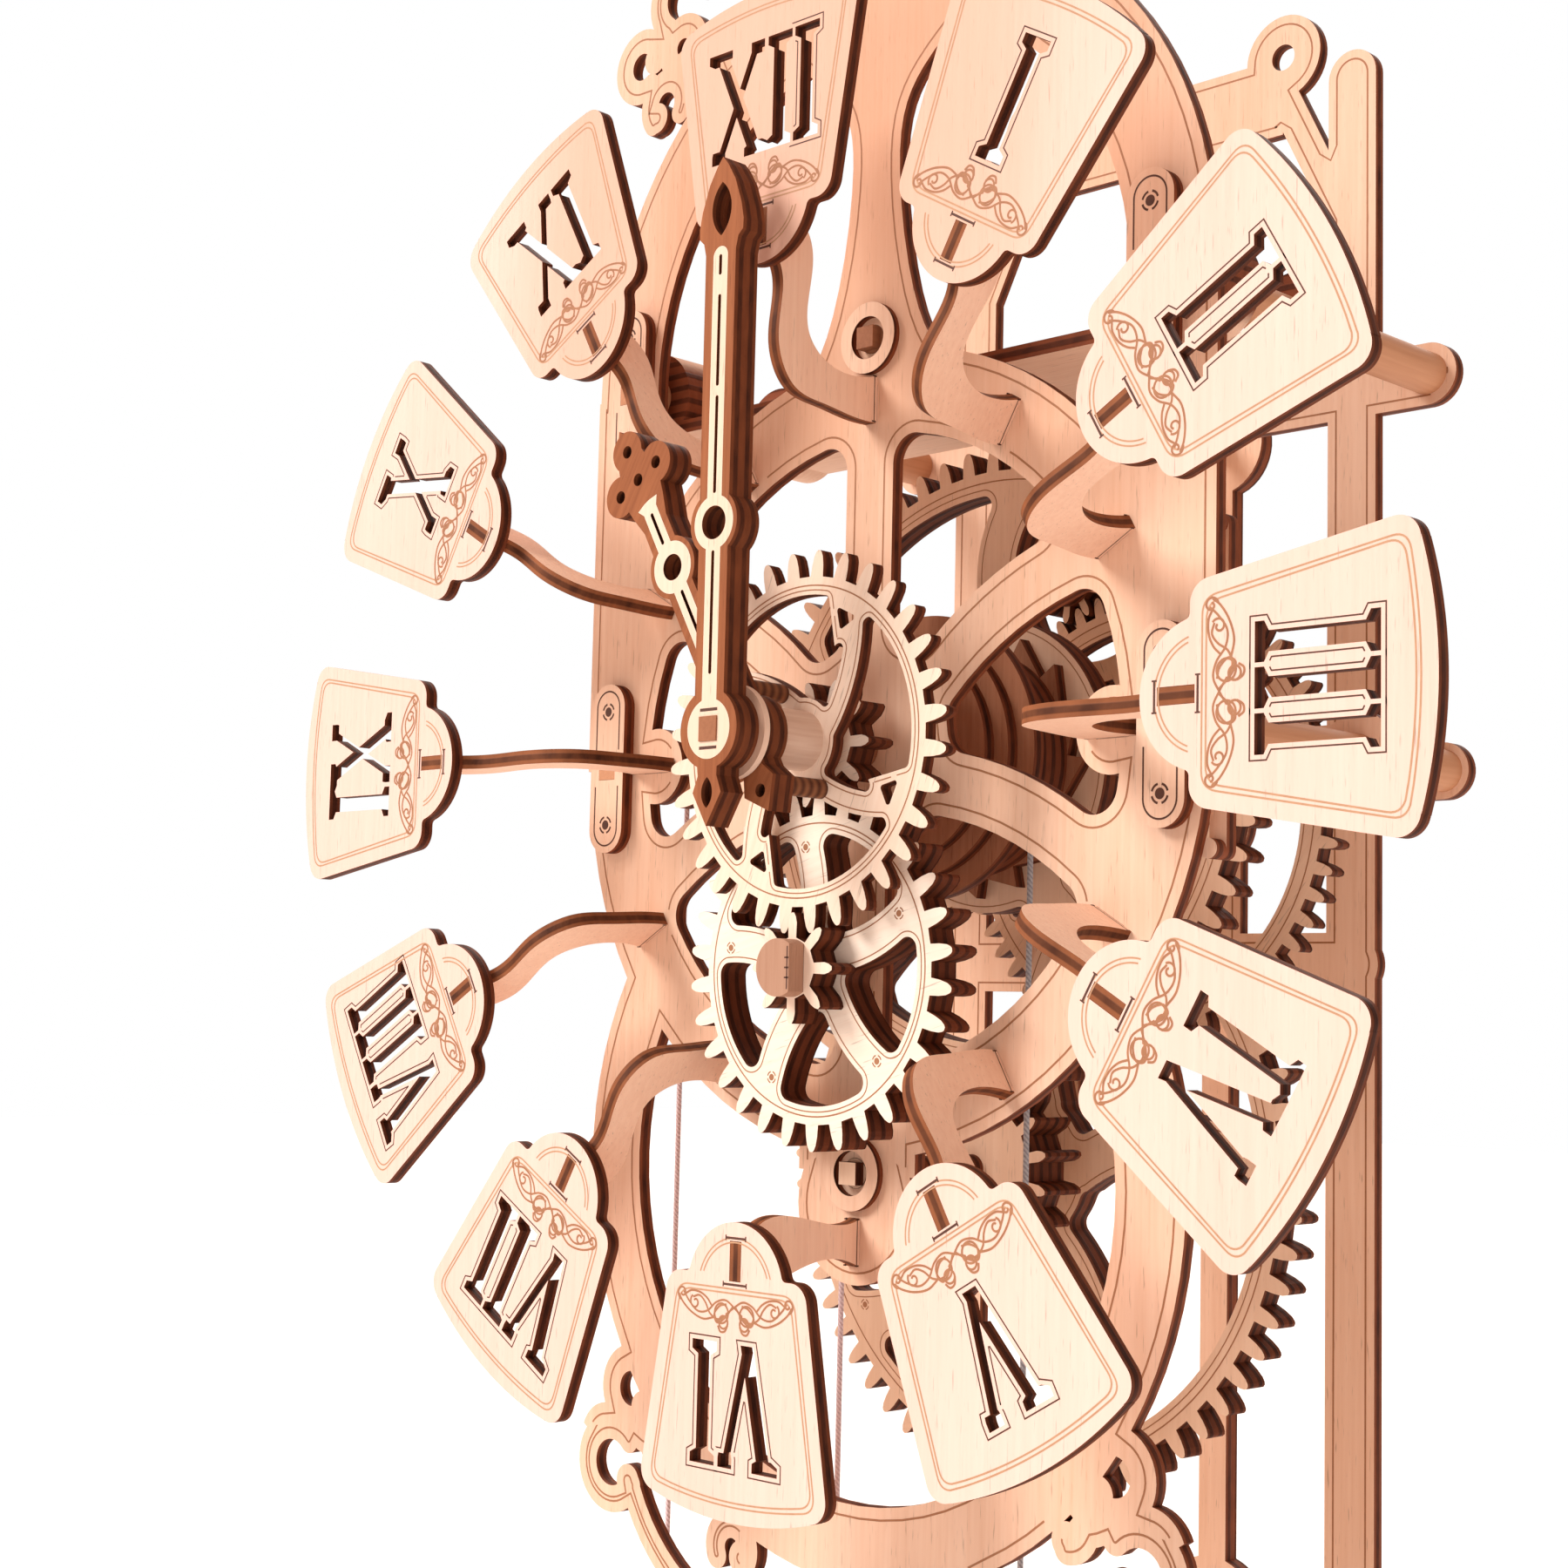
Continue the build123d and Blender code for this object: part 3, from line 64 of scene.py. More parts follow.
def build(name, corners, faces, finish, smooth=False):
    """A mesh piece from a whole array of corners, and an array or a list of faces."""
    mesh = bpy.data.meshes.new(name)
    faces = faces if isinstance(faces, list) else faces.tolist()
    mesh.from_pydata(corners.tolist(), [], faces)
    mesh.materials.append(finish)
    mesh.polygons.foreach_set("use_smooth", np.full(len(mesh.polygons), smooth))
    mesh.update()
    piece = bpy.data.objects.new(name, mesh)
    bpy.context.scene.collection.objects.link(piece)
    return piece


class Thread:
    """A value that runs through a finish's nodes and takes part in plain arithmetic."""

    def __init__(self, finish, socket=None):
        self.finish = finish
        self.socket = socket

    def node(self, kind, plugs=None, out=0, **settings):
        """Adds one node, plugs in or sets its inputs, and gives one of its outputs."""
        tree = self.finish.node_tree
        made = tree.nodes.new(kind)
        for key, value in settings.items():
            setattr(made, key, value)
        for key, value in (plugs or {}).items():
            if isinstance(value, Thread):
                tree.links.new(value.socket, made.inputs[key])
            else:
                made.inputs[key].default_value = value
        return Thread(self.finish, made.outputs[out])

    def math(self, word, first, second=0.0):
        return self.node("ShaderNodeMath", {0: first, 1: second}, operation=word)

    def __add__(self, other):
        return self.math("ADD", self, other)

    def __radd__(self, other):
        return self.math("ADD", other, self)

    def __sub__(self, other):
        return self.math("SUBTRACT", self, other)

    def __rsub__(self, other):
        return self.math("SUBTRACT", other, self)

    def __mul__(self, other):
        return self.math("MULTIPLY", self, other)

    def __truediv__(self, other):
        return self.math("DIVIDE", self, other)

    def __mod__(self, other):
        return self.math("FLOORED_MODULO", self, other)

    def __abs__(self):
        return self.math("ABSOLUTE", self)

    def ramp(self, low, high):
        """0 below low, 1 above high and a smooth rise between them."""
        plugs = {0: self, 1: low, 2: high}
        return self.node("ShaderNodeMapRange", plugs, interpolation_type="SMOOTHSTEP")

    def parts(self):
        """A vector's three components."""
        return [self.node("ShaderNodeSeparateXYZ", {0: self}, out=n) for n in range(3)]

    def vector(self, x, y, z):
        return self.node("ShaderNodeCombineXYZ", {0: x, 1: y, 2: z})

    def cloud(self, place, scale=1.0, detail=2.0):
        """Smooth noise between 0 and 1 about a half."""
        return self.node("ShaderNodeTexNoise", {"Vector": place, "Scale": scale, "Detail": detail})

    def blend(self, share, low, high):
        """The colour low where share is 0, and high where it is 1."""
        return self.node("ShaderNodeMix", {0: share, 6: low, 7: high}, out=2, data_type="RGBA")


def new_finish(name):
    """An empty material with a way in to its nodes."""
    finish = bpy.data.materials.new(name)
    finish.use_nodes = True
    finish.node_tree.nodes.clear()
    return finish, Thread(finish)


def shaded(finish, colour, roughness, bump=None, depth=0.0, constants=None):
    """Closes a finish with one shader: colours and roughness vary, constants don't."""
    start = Thread(finish)
    plugs = {"Base Color": colour, "Roughness": roughness}
    plugs.update(constants or {})
    if bump is not None:
        relief = {"Strength": 1.0, "Distance": depth, "Height": bump}
        plugs["Normal"] = start.node("ShaderNodeBump", relief)
    shader = start.node("ShaderNodeBsdfPrincipled", plugs)
    tree = finish.node_tree
    tree.links.new(shader.socket, tree.nodes.new("ShaderNodeOutputMaterial").inputs[0])
    return finish


def pale_paper():
    """A plain pale surface with the faintest mottling."""
    finish, start = new_finish("pale_paper")
    place = start.node("ShaderNodeTexCoord", out=3)
    tone = start.cloud(place, scale=3.0) * 0.02
    white = start.blend(tone, (0.97, 0.97, 0.97, 1), (0.90, 0.90, 0.90, 1))
    return shaded(finish, white, 0.9)


table_half, table_rows = 4.0, 21
shares = np.linspace(-1, 1, table_rows)
u, v = np.meshgrid(shares, shares)
table = build(
    "table_top",
    np.stack([u * table_half, v * table_half, 0 * u], axis=-1).reshape(-1, 3),
    grid_faces(table_rows, table_rows),
    pale_paper(),
)

sky = bpy.data.worlds.new("white_sky")
bpy.context.scene.world = sky
sky.use_nodes = True
sky.node_tree.nodes.clear()
start = Thread(sky)
wall = start.node("ShaderNodeBackground", {"Color": (1.0, 1.0, 1.0, 1), "Strength": 1.0})
glow = start.node("ShaderNodeBackground", {"Color": (1.0, 0.78, 0.67, 1), "Strength": 0.56})
straight = start.node("ShaderNodeLightPath")
both = start.node("ShaderNodeMixShader", {0: straight, 1: glow, 2: wall})
sky.node_tree.links.new(both.socket, sky.node_tree.nodes.new("ShaderNodeOutputWorld").inputs[0])
bpy.context.scene.view_settings.view_transform = "Standard"


def daylight(name, turn, power, colour, spread):
    """Even light from far off along its own downward axis, soft by its spread."""
    lamp = bpy.data.lights.new(name, "SUN")
    lamp.energy = power
    lamp.color = colour
    lamp.angle = math.radians(spread)
    stand = bpy.data.objects.new(name, lamp)
    stand.rotation_euler = Euler([math.radians(a) for a in turn])
    bpy.context.scene.collection.objects.link(stand)


daylight("window_light", turn=(54, 0, -38), power=3.4, colour=(1.0, 0.98, 0.95), spread=28.0)
daylight("back_light", turn=(-48, 0, 25), power=1.4, colour=(1.0, 0.95, 0.90), spread=40.0)

lens = bpy.data.cameras.new("camera")
lens.lens = 56.84
lens.sensor_width = 36.0
lens.clip_start = 0.01
camera = bpy.data.objects.new("camera", lens)
camera.location = (0.22878, -0.26537, 0.21867)
camera.rotation_euler = Euler([math.radians(a) for a in (95.3615, -1.3541, 44.8329)])
bpy.context.scene.collection.objects.link(camera)
bpy.context.scene.camera = camera


# The cords: one thin twisted cord from the weight on the right over the drum,
# and its tail from the drum down round the pulley and up to the left pillar.
cord_half = 0.0004
cord_y = -0.0056
cord_sides = 12


def tight_cord(name, route, finish):
    """A cord round a smooth line through a few points of its way, and that line. At
    each step the middle plus the radius times the cosine and sine of a turn, across
    the line's own direction in the cords' plane and square to it."""
    curve = bpy.data.curves.new(name, "CURVE")
    curve.dimensions = "3D"
    curve.resolution_u = 16
    run = curve.splines.new("NURBS")
    run.points.add(len(route) - 1)
    run.points.foreach_set("co", [c for x, z in route for c in (x, cord_y, z, 1.0)])
    run.order_u = 3
    run.use_endpoint_u = True
    line = bpy.data.meshes.new_from_object(bpy.data.objects.new(name + "_line", curve))
    middle = np.empty(len(line.vertices) * 3, dtype=np.float32)
    line.vertices.foreach_get("co", middle)
    middle = middle.reshape(-1, 3).astype(float)
    along = np.gradient(middle, axis=0)
    along /= np.linalg.norm(along, axis=1)[:, None]
    across = np.stack([-along[:, 2], 0 * along[:, 0], along[:, 0]], axis=1)
    turn = np.linspace(0, math.tau, cord_sides, endpoint=False)[None, :, None]
    deep = np.array([0.0, 1.0, 0.0])
    skin = middle[:, None] + cord_half * (np.cos(turn) * across[:, None] + np.sin(turn) * deep)
    corners = np.concatenate([skin.reshape(-1, 3), middle[[0, -1]]])
    spin, last = np.arange(cord_sides), len(middle) * cord_sides
    following, ring = (spin + 1) % cord_sides, last - cord_sides
    start_cap = np.stack([0 * spin + last, spin, following], axis=1)
    end_cap = np.stack([0 * spin + last + 1, ring + following, ring + spin], axis=1)
    faces = grid_faces(len(middle), cord_sides, closed=True).tolist()
    faces += start_cap.tolist() + end_cap.tolist()
    return build(name, corners, faces, finish, smooth=True), middle


def twisted(name, light, dark):
    """A soft cord whose strands show as fine slanting bands."""
    finish, start = new_finish(name)
    x, y, z = start.node("ShaderNodeTexCoord", out=3).parts()
    band = start.math("SINE", z * 9000.0 + x * 7000.0 + y * 7000.0) * 0.5 + 0.5
    fuzz = start.cloud(start.vector(x, y, z), scale=4000.0)
    colour = start.blend(band * 0.6 + fuzz * 0.4, dark, light)
    return shaded(finish, colour, 0.85, band, depth=0.0001, constants={"Sheen Weight": 0.3})


pink_cord = twisted("pink_cord", (0.86, 0.70, 0.72, 1), (0.55, 0.38, 0.40, 1))
grey_cord = twisted("grey_cord", (0.50, 0.50, 0.53, 1), (0.20, 0.20, 0.23, 1))
drive_line, drive_path = tight_cord("drive_line", [
    (0.0, 0.2717), (0.00692, 0.2717), (0.0167, 0.26192), (0.0167, 0.24808),
    (0.0167, 0.195), (0.0167, 0.12906),
], grey_cord)
tail_line, tail_path = tight_cord("tail_line", [
    (0.0, 0.2717), (-0.00692, 0.2717), (-0.0167, 0.26192), (-0.0167, 0.24808),
    (-0.0167, 0.18), (-0.0167, 0.11225), (-0.0167, 0.09775), (-0.02695, 0.0875),
    (-0.04145, 0.0875), (-0.0517, 0.09775), (-0.0517, 0.11225), (-0.0517, 0.18),
    (-0.0517, 0.25044),
], pink_cord)
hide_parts("drive_cord")
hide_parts("tension_cord")
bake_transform(drive_line)
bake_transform(tail_line)


# The stand: a thick base board with rounded corners on four turned feet. Like
# every board of the clock it is pale basswood ply, burnt brown where it is cut.
ply = 0.002
dial_z = 0.255
hair = 0.00002


def grain(start, x, y, z):
    """Fine upright fibres, broad bands and short dark pores, as three numbers."""
    fibres = start.cloud(start.vector(x * 1500.0, y * 1500.0, z * 60.0), detail=3.0)
    broad = start.cloud(start.vector(x * 60.0, y * 60.0, z * 14.0))
    pores = start.cloud(start.vector(x * 3600.0, y * 3600.0, z * 260.0)).ramp(0.62, 0.78)
    return fibres, broad, pores


def cut_board(
    name, light, dark, burn, soot, front=0.0, plane="y", lean=0.0, top_shade=0.0, band=None
):
    """A board cut by heat: wood on its flat faces, layered brown on its cut edges.
    The cut edges are where the surface turns away from the board's own flat side,
    and the layers are counted from its front. The grain leans by some degrees.
    Some boards get painted shade, browner near the top of the clock's middle. A layer of
    another wood, with its two colours, can fill a band from one depth to another."""
    finish, start = new_finish(name)
    x, y, z = start.node("ShaderNodeTexCoord", out=3).parts()
    nx, ny, nz = start.node("ShaderNodeTexCoord", out=1).parts()
    if plane == "arm":
        twelfth = math.tau / 12
        turn = start.math("ROUND", start.math("ARCTAN2", x, z - dial_z) / twelfth) * twelfth
        right, up = start.math("COSINE", turn), start.math("SINE", turn)
        flat, layer = abs(nx * right - nz * up), (x * right - (z - dial_z) * up) / ply + 0.5
    elif plane == "z":
        flat, layer = abs(nz), (z - front) / ply % 1.0
    else:
        flat, layer = abs(ny), (y - front) / ply % 1.0
    along, side = math.cos(math.radians(lean)), math.sin(math.radians(lean))
    fibres, broad, pores = grain(start, x * along - z * side, y, z * along + x * side)
    wood = start.blend((fibres - 0.5) * 0.9 + (broad - 0.5) * 0.9 + 0.55, dark, light)
    wood = start.blend(pores * 0.35, wood, soot)
    if top_shade:
        # painted shade: warm brown laid over the top of the clock's middle, fading away to the sides
        top_shade_mask = z.ramp(0.25, 0.33) * (1.0 - abs(x).ramp(0.035, 0.060))
        wood = start.blend(top_shade_mask * top_shade, wood, (0.64, 0.32, 0.19, 1))
    core = 1.0 - abs(layer - 0.5).ramp(0.14, 0.26)
    smoke = start.cloud(start.vector(x * 260.0, y * 700.0, z * 260.0), detail=3.0)
    edge = start.blend(core * 0.55 + (smoke - 0.3) * 0.9, burn, soot)
    cut = 1.0 - flat.ramp(0.45, 0.85)
    colour, rough = start.blend(cut, wood, edge), 0.72 - cut * 0.08
    if band is not None:
        low, high, pale, deep = band
        inside = y.ramp(low - hair, low + hair) * (1.0 - y.ramp(high - hair, high + hair))
        colour = start.blend(inside, colour, start.blend(fibres, deep, pale))
    matt = {"Specular IOR Level": 0.12}
    return shaded(finish, colour, rough, fibres + core * cut, depth=0.00006, constants=matt)


def wear(finish, *nodes):
    """Gives solids of the frame a finish; their shapes stay as they are."""
    for node in nodes:
        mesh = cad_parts[node].data
        mesh.materials.clear()
        mesh.materials.append(finish)


basswood = ((0.87, 0.61, 0.46, 1), (0.74, 0.44, 0.29, 1))
scorch = ((0.24, 0.065, 0.026, 1), (0.035, 0.009, 0.005, 1))
base_ply = cut_board("base_ply", *basswood, *scorch, plane="z", front=0.005, lean=90.0)
wear(base_ply, "base_board", "base_feet")


# The front frame: one board with the open upper ring, the dial ring with six
# bent spokes, the lower ring, scrolled edges and two legs. A fine line is
# engraved just inside every edge.
rim_step = 0.0005


def board_rim(node, depth):
    """The rim of a board's front face in small steps: the places, the way into the
    wood at each, the next step, and the length all round that opening. A rim side
    is a triangle side that no neighbour shares."""
    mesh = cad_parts[node].data
    mesh.calc_loop_triangles()
    corners = np.empty(len(mesh.vertices) * 3, dtype=np.float32)
    mesh.vertices.foreach_get("co", corners)
    corners = corners.reshape(-1, 3).astype(float)
    tris = np.empty(len(mesh.loop_triangles) * 3, dtype=np.int32)
    mesh.loop_triangles.foreach_get("vertices", tris)
    tris = tris.reshape(-1, 3).astype(np.int64)
    flat = np.abs(corners[tris, 1] - depth).max(axis=1) < hair
    first, second, third = (corners[tris[:, n]] for n in range(3))
    outward = np.cross(second - first, third - first)[:, 1] < 0
    places, same = np.unique(np.round(corners[:, [0, 2]] * 1e6), axis=0, return_inverse=True)
    tris = same.reshape(-1)[tris[flat & outward]]
    sides = tris[:, [0, 1, 1, 2, 2, 0]].reshape(-1, 2)
    sides = sides[sides[:, 0] != sides[:, 1]]
    total = len(places)
    shared = np.isin(sides[:, 0] * total + sides[:, 1], sides[:, 1] * total + sides[:, 0])
    rim = sides[~shared]
    start, run = places[rim[:, 0]] * 1e-6, (places[rim[:, 1]] - places[rim[:, 0]]) * 1e-6
    count = np.maximum(1, np.ceil(np.linalg.norm(run, axis=1) / rim_step)).astype(int)
    head = np.concatenate([[0], np.cumsum(count)[:-1]])
    side = np.repeat(np.arange(len(rim)), count)
    number = np.arange(len(side))
    along = number - head[side]
    points = start[side] + run[side] * (along / count[side])[:, None]
    leaving = np.zeros(total, dtype=int)
    leaving[rim[:, 0]] = head
    after = np.where(along + 1 < count[side], number + 1, leaving[rim[side, 1]] % len(side))
    before = np.zeros(len(side), dtype=int)
    before[after] = number
    ahead = points[after] - points
    long = np.linalg.norm(ahead, axis=1)
    ahead /= np.maximum(long, 1e-9)[:, None]
    left = np.stack([-ahead[:, 1], ahead[:, 0]], axis=1)
    bend = 1 + (ahead * ahead[before]).sum(axis=1)
    inward = (left + left[before]) / np.maximum(bend, 0.4)[:, None]
    label, jump = number.copy(), after.copy()
    for _ in range(16):
        label = np.minimum(label, label[jump])
        jump = jump[jump]
    around = np.bincount(label, weights=long, minlength=len(side))[label]
    return points, inward, after, around


def rim_line(node, depth, inset, wide, least=0.03, most=math.inf):
    """A line engraved a little way in from the cut edges whose length round is
    between least and most. It stops where another edge comes nearer than that."""
    points, inward, after, around = board_rim(node, depth)
    line = points + inward * inset
    near = np.concatenate([
        np.sqrt(((line[n:n + 300, None] - points) ** 2).sum(axis=-1).min(axis=1))
        for n in range(0, len(line), 300)
    ])
    keep = (around > least) & (around < most) & (near > inset * 0.93)
    keep &= keep[after]
    number, total = np.arange(len(points)), len(points)
    flat = np.concatenate([line - inward * wide / 2, line + inward * wide / 2])
    faces = np.stack([number, after, after + total, number + total], axis=1)[keep]
    used, faces = np.unique(faces, return_inverse=True)
    return on_face(flat[used], depth), faces.reshape(-1, 4)


def on_face(flat, depth):
    """Points of x and z laid on a board's face, a hair in front of it."""
    return np.column_stack([flat[:, 0], np.full(len(flat), depth - hair), flat[:, 1]])


def laid(parts, depth):
    """Several drawn lines laid on a board's face."""
    return [(on_face(flat, depth), faces) for flat, faces in parts]


def drawn(points, wide, closed=False):
    """A flat line of even width: each point goes half the width to either side."""
    points = np.asarray(points, dtype=float)
    if closed:
        along = np.roll(points, -1, axis=0) - np.roll(points, 1, axis=0)
    else:
        along = np.gradient(points, axis=0)
    along /= np.maximum(np.linalg.norm(along, axis=1), 1e-9)[:, None]
    left = np.stack([-along[:, 1], along[:, 0]], axis=1) * wide / 2
    flat = np.stack([points - left, points + left], axis=1).reshape(-1, 2)
    number = np.arange(len(points) if closed else len(points) - 1)
    after = (number + 1) % len(points)
    return flat, np.stack([2 * number, 2 * after, 2 * after + 1, 2 * number + 1], axis=1)


def arc(x, z, radius, start=0.0, end=360.0, wide=0.0003, steps=72):
    """A drawn arc: the centre plus the radius times the cosine and sine of a turn."""
    closed = abs(end - start) >= 360
    turn = np.radians(np.linspace(start, end, steps, endpoint=not closed))
    return drawn(np.column_stack([x + radius * np.cos(turn), z + radius * np.sin(turn)]), wide, closed)


def gathered(parts):
    """Several sets of corners and faces as one."""
    shift = np.cumsum([0] + [len(corners) for corners, _ in parts[:-1]])
    faces = [faces + move for (_, faces), move in zip(parts, shift)]
    return np.concatenate([corners for corners, _ in parts]), np.concatenate(faces)


def pin_mark(x, z, size=1.0):
    """Four short arcs round a flat pin's head."""
    dash_r, dash_wide, dot_r = 0.0012 * size, 0.0003 * size, 0.00036 * size
    starts = (14, 104, 194, 284)
    dashes = [arc(x, z, dash_r, turn, turn + 62, dash_wide, steps=8) for turn in starts]
    return gathered(dashes + [arc(x, z, dot_r, wide=2 * dot_r, steps=16)])


def engraving(name, parts, finish, body):
    """One piece of engraved lines that rides on a body."""
    piece = build(name, *gathered(parts), finish)
    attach(piece, body)


def burnt_line(name, light, dark):
    """The brown of a shallow laser line, a little uneven along its way."""
    finish, start = new_finish(name)
    place = start.node("ShaderNodeTexCoord", out=3)
    return shaded(finish, start.blend(start.cloud(place, scale=900.0), dark, light), 0.7)


frame_face = -0.021
frame_pins = ((0.0477, 0.2075), (0.0475, 0.3005))
# The front frame gets painted shade near its top.
wear(cut_board("frame_board", *basswood, *scorch, front=frame_face, top_shade=0.5), "front_frame")
line_brown = burnt_line("line_brown", (0.43, 0.19, 0.085, 1), (0.29, 0.11, 0.048, 1))
line_tan = burnt_line("line_tan", (0.57, 0.32, 0.18, 1), (0.43, 0.21, 0.11, 1))
line_dark = burnt_line("line_dark", (0.12, 0.035, 0.015, 1), (0.04, 0.012, 0.006, 1))
frame_marks = [pin_mark(side * x, z) for x, z in frame_pins for side in (1, -1)]
frame_rims = [rim_line("front_frame", frame_face, inset=0.0016, wide=0.00028)]
engraving("frame_lines", frame_rims + laid(frame_marks, frame_face), line_brown, "root")


# The back frame, the plate between the frames, the keepers and the shelf, all cut
# from the same sheet, and the turned pillars that they are pegged to.
sanded = {"Specular IOR Level": 0.25}
back_face = 0.043
keeper_face = -0.023
keeper_places = ((0.0508, 0.255), (0.0485, 0.312))
keeper_reach = 0.0085
back_board = cut_board("back_board", *basswood, *scorch, front=back_face)
# The plate between the frames gets painted shade near its top.
middle_board = cut_board("middle_board", *basswood, *scorch, front=0.021, top_shade=0.5)
fitting_board = cut_board("fitting_board", *basswood, *scorch, front=keeper_face)
shelf_board = cut_board("shelf_board", *basswood, *scorch, front=0.306, plane="z", lean=90.0)
wear(back_board, "back_frame")
wear(middle_board, "movement_plate")
wear(fitting_board, "frame_fittings")


def dowel(name, light, dark):
    """A turned rod whose fibres run along it, from front to back."""
    finish, start = new_finish(name)
    x, y, z = start.node("ShaderNodeTexCoord", out=3).parts()
    fibres = start.cloud(start.vector(x * 1800.0, y * 70.0, z * 1800.0), detail=3.0)
    broad = start.cloud(start.vector(x * 300.0, y * 20.0, z * 300.0))
    colour = start.blend(fibres * 0.6 + broad * 0.4, dark, light)
    return shaded(finish, colour, 0.6, fibres, depth=0.00004, constants=sanded)


wear(dowel("pillar_wood", (0.66, 0.34, 0.19, 1), (0.44, 0.18, 0.085, 1)), "frame_pillars")
wear(shelf_board, "top_shelf")
back_rims = [rim_line("back_frame", back_face, inset=0.0014, wide=0.00028)]
engraving("back_lines", back_rims, line_brown, "root")
keeper_marks = [
    pin_mark(side * x, z + end * keeper_reach)
    for x, z in keeper_places for side in (1, -1) for end in (1, -1)
]
keeper_rims = [rim_line("frame_fittings", keeper_face, inset=0.0011, wide=0.00025)]
engraving("keeper_lines", keeper_rims + laid(keeper_marks, keeper_face), line_dark, "root")


# The going train: four wheels with curved spokes on wooden arbors. Their cut
# flanks are burnt almost black, and the layers of ply show as stripes.
great_face, second_face, third_face = 0.005, 0.015, 0.024
second_z = 0.198
third_x, third_z = 0.0127009, 0.2489405
wheel_wood = ((0.87, 0.64, 0.48, 1), (0.75, 0.49, 0.33, 1))
flank_burn = ((0.17, 0.045, 0.018, 1), (0.022, 0.006, 0.004, 1))
great_ply = cut_board("great_ply", *wheel_wood, *flank_burn, front=great_face)
second_ply = cut_board("second_ply", *wheel_wood, *flank_burn, front=second_face)
third_ply = cut_board("third_ply", *wheel_wood, *flank_burn, front=third_face, lean=40.0)
escape_ply = cut_board("escape_ply", *wheel_wood, *flank_burn, front=0.029, lean=-25.0)
wear(great_ply, "great_wheel", "click")
drum_wood = ((0.46, 0.21, 0.12, 1), (0.27, 0.105, 0.05, 1))
wear(cut_board("drum_ply", *drum_wood, *flank_burn, front=-0.013), "cord_drum")
wear(second_ply, "second_wheel", "second_pinion")
wear(third_ply, "third_wheel", "third_pinion", "escape_pinion")
wear(escape_ply, "escape_wheel", "anchor")
arbor_wood = dowel("arbor_wood", (0.42, 0.17, 0.08, 1), (0.22, 0.075, 0.03, 1))
wear(arbor_wood, "pendulum_arbor", "centre_arbor")


def wheel_lines(node, depth, x, z, body, radius, inset):
    """The circle near a wheel's tooth roots and the lines round its windows."""
    circle = laid([arc(x, z, radius, wide=0.0002, steps=120)], depth)
    rims = [rim_line(node, depth, inset, wide=0.00017, most=0.2)]
    engraving(node + "_lines", rims + circle, line_brown, body)


wheel_lines("great_wheel", great_face, 0.0, dial_z, "centre", radius=0.0415, inset=0.0009)
wheel_lines("second_wheel", second_face, 0.0, second_z, "second", radius=0.0415, inset=0.0009)
wheel_lines("third_wheel", third_face, third_x, third_z, "third", radius=0.0295, inset=0.0006)


# The motion work behind the hands: the hour wheel in front, the minute wheel of
# three glued layers below it, the pinions, the pipe and its two posts. The minute
# pinion's cap is of a browner wood than its leaves.
hour_face, minute_face = -0.0332, -0.0296
minute_z = 0.225
hour_wood = ((0.92, 0.74, 0.61, 1), (0.82, 0.58, 0.43, 1))
minute_wood = ((0.97, 0.83, 0.71, 1), (0.88, 0.68, 0.54, 1))
hour_ply = cut_board("hour_ply", *hour_wood, *flank_burn, front=hour_face, lean=20.0)
minute_ply = cut_board("minute_ply", *minute_wood, *flank_burn, front=minute_face, lean=75.0)


def pipe_ply():
    """A pale sanded tube round the axis, and two brown ribbed posts beside it."""
    tube_r, posts_r = 0.0048, 0.0054
    finish, start = new_finish("pipe_ply")
    x, y, z = start.node("ShaderNodeTexCoord", out=3).parts()
    out = start.math("SQRT", x * x + (z - dial_z) * (z - dial_z))
    fibres = start.cloud(start.vector(x * 1500.0, y * 90.0, z * 1500.0), detail=3.0)
    rib = start.math("SINE", y * 4200.0) * 0.5 + 0.5
    pale = start.blend(fibres, (0.60, 0.36, 0.25, 1), (0.86, 0.66, 0.53, 1))
    brown = start.blend(rib * 0.7 + fibres * 0.3, (0.06, 0.018, 0.009, 1), (0.30, 0.115, 0.05, 1))
    colour = start.blend(out.ramp(tube_r, posts_r), pale, brown)
    return shaded(finish, colour, 0.6, fibres, depth=0.00004, constants=sanded)


wear(hour_ply, "hour_wheel")
wear(minute_ply, "minute_wheel", "cannon_pinion")
cap_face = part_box("minute_pinion")[0][1]
cap_layer = (cap_face - 0.001, cap_face + 0.00275, (0.50, 0.29, 0.20, 1), (0.36, 0.18, 0.11, 1))
cap_ply = cut_board("cap_ply", *hour_wood, *flank_burn, front=cap_face, band=cap_layer)
wear(cap_ply, "minute_pinion")
wear(pipe_ply(), "hour_pipe")
wheel_lines("hour_wheel", hour_face, 0.0, dial_z, "hour", radius=0.0208, inset=0.0006)
wheel_lines("minute_wheel", minute_face, 0.0, minute_z, "motion", radius=0.0194, inset=0.0007)


def wheel_pins(node, depth, z, body, radius, bearing):
    """The heads of five flat pins round a wheel, where its spokes meet the rim."""
    turns = np.radians(bearing + 72 * np.arange(5))
    marks = [pin_mark(radius * math.cos(t), z + radius * math.sin(t), size=0.62) for t in turns]
    engraving(node + "_pins", laid(marks, depth), line_brown, body)


wheel_pins("minute_wheel", minute_face, minute_z, "motion", radius=0.0164, bearing=-46.0)
wheel_pins("second_wheel", second_face, second_z, "second", radius=0.0385, bearing=0.0)
cap_edge, tick_wide = 0.0019, 0.00022
long_tick = [(cap_edge, minute_z + rise) for rise in (-0.0028, 0.0, 0.0028)]
ticks = [drawn(long_tick, tick_wide)]
for rise in (-0.0013, 0.0, 0.0013):
    short_tick = [(cap_edge + out, minute_z + rise) for out in (-0.0005, 0.0, 0.0003)]
    ticks.append(drawn(short_tick, tick_wide))
engraving("cap_ticks", laid(ticks, cap_face), line_dark, "motion")


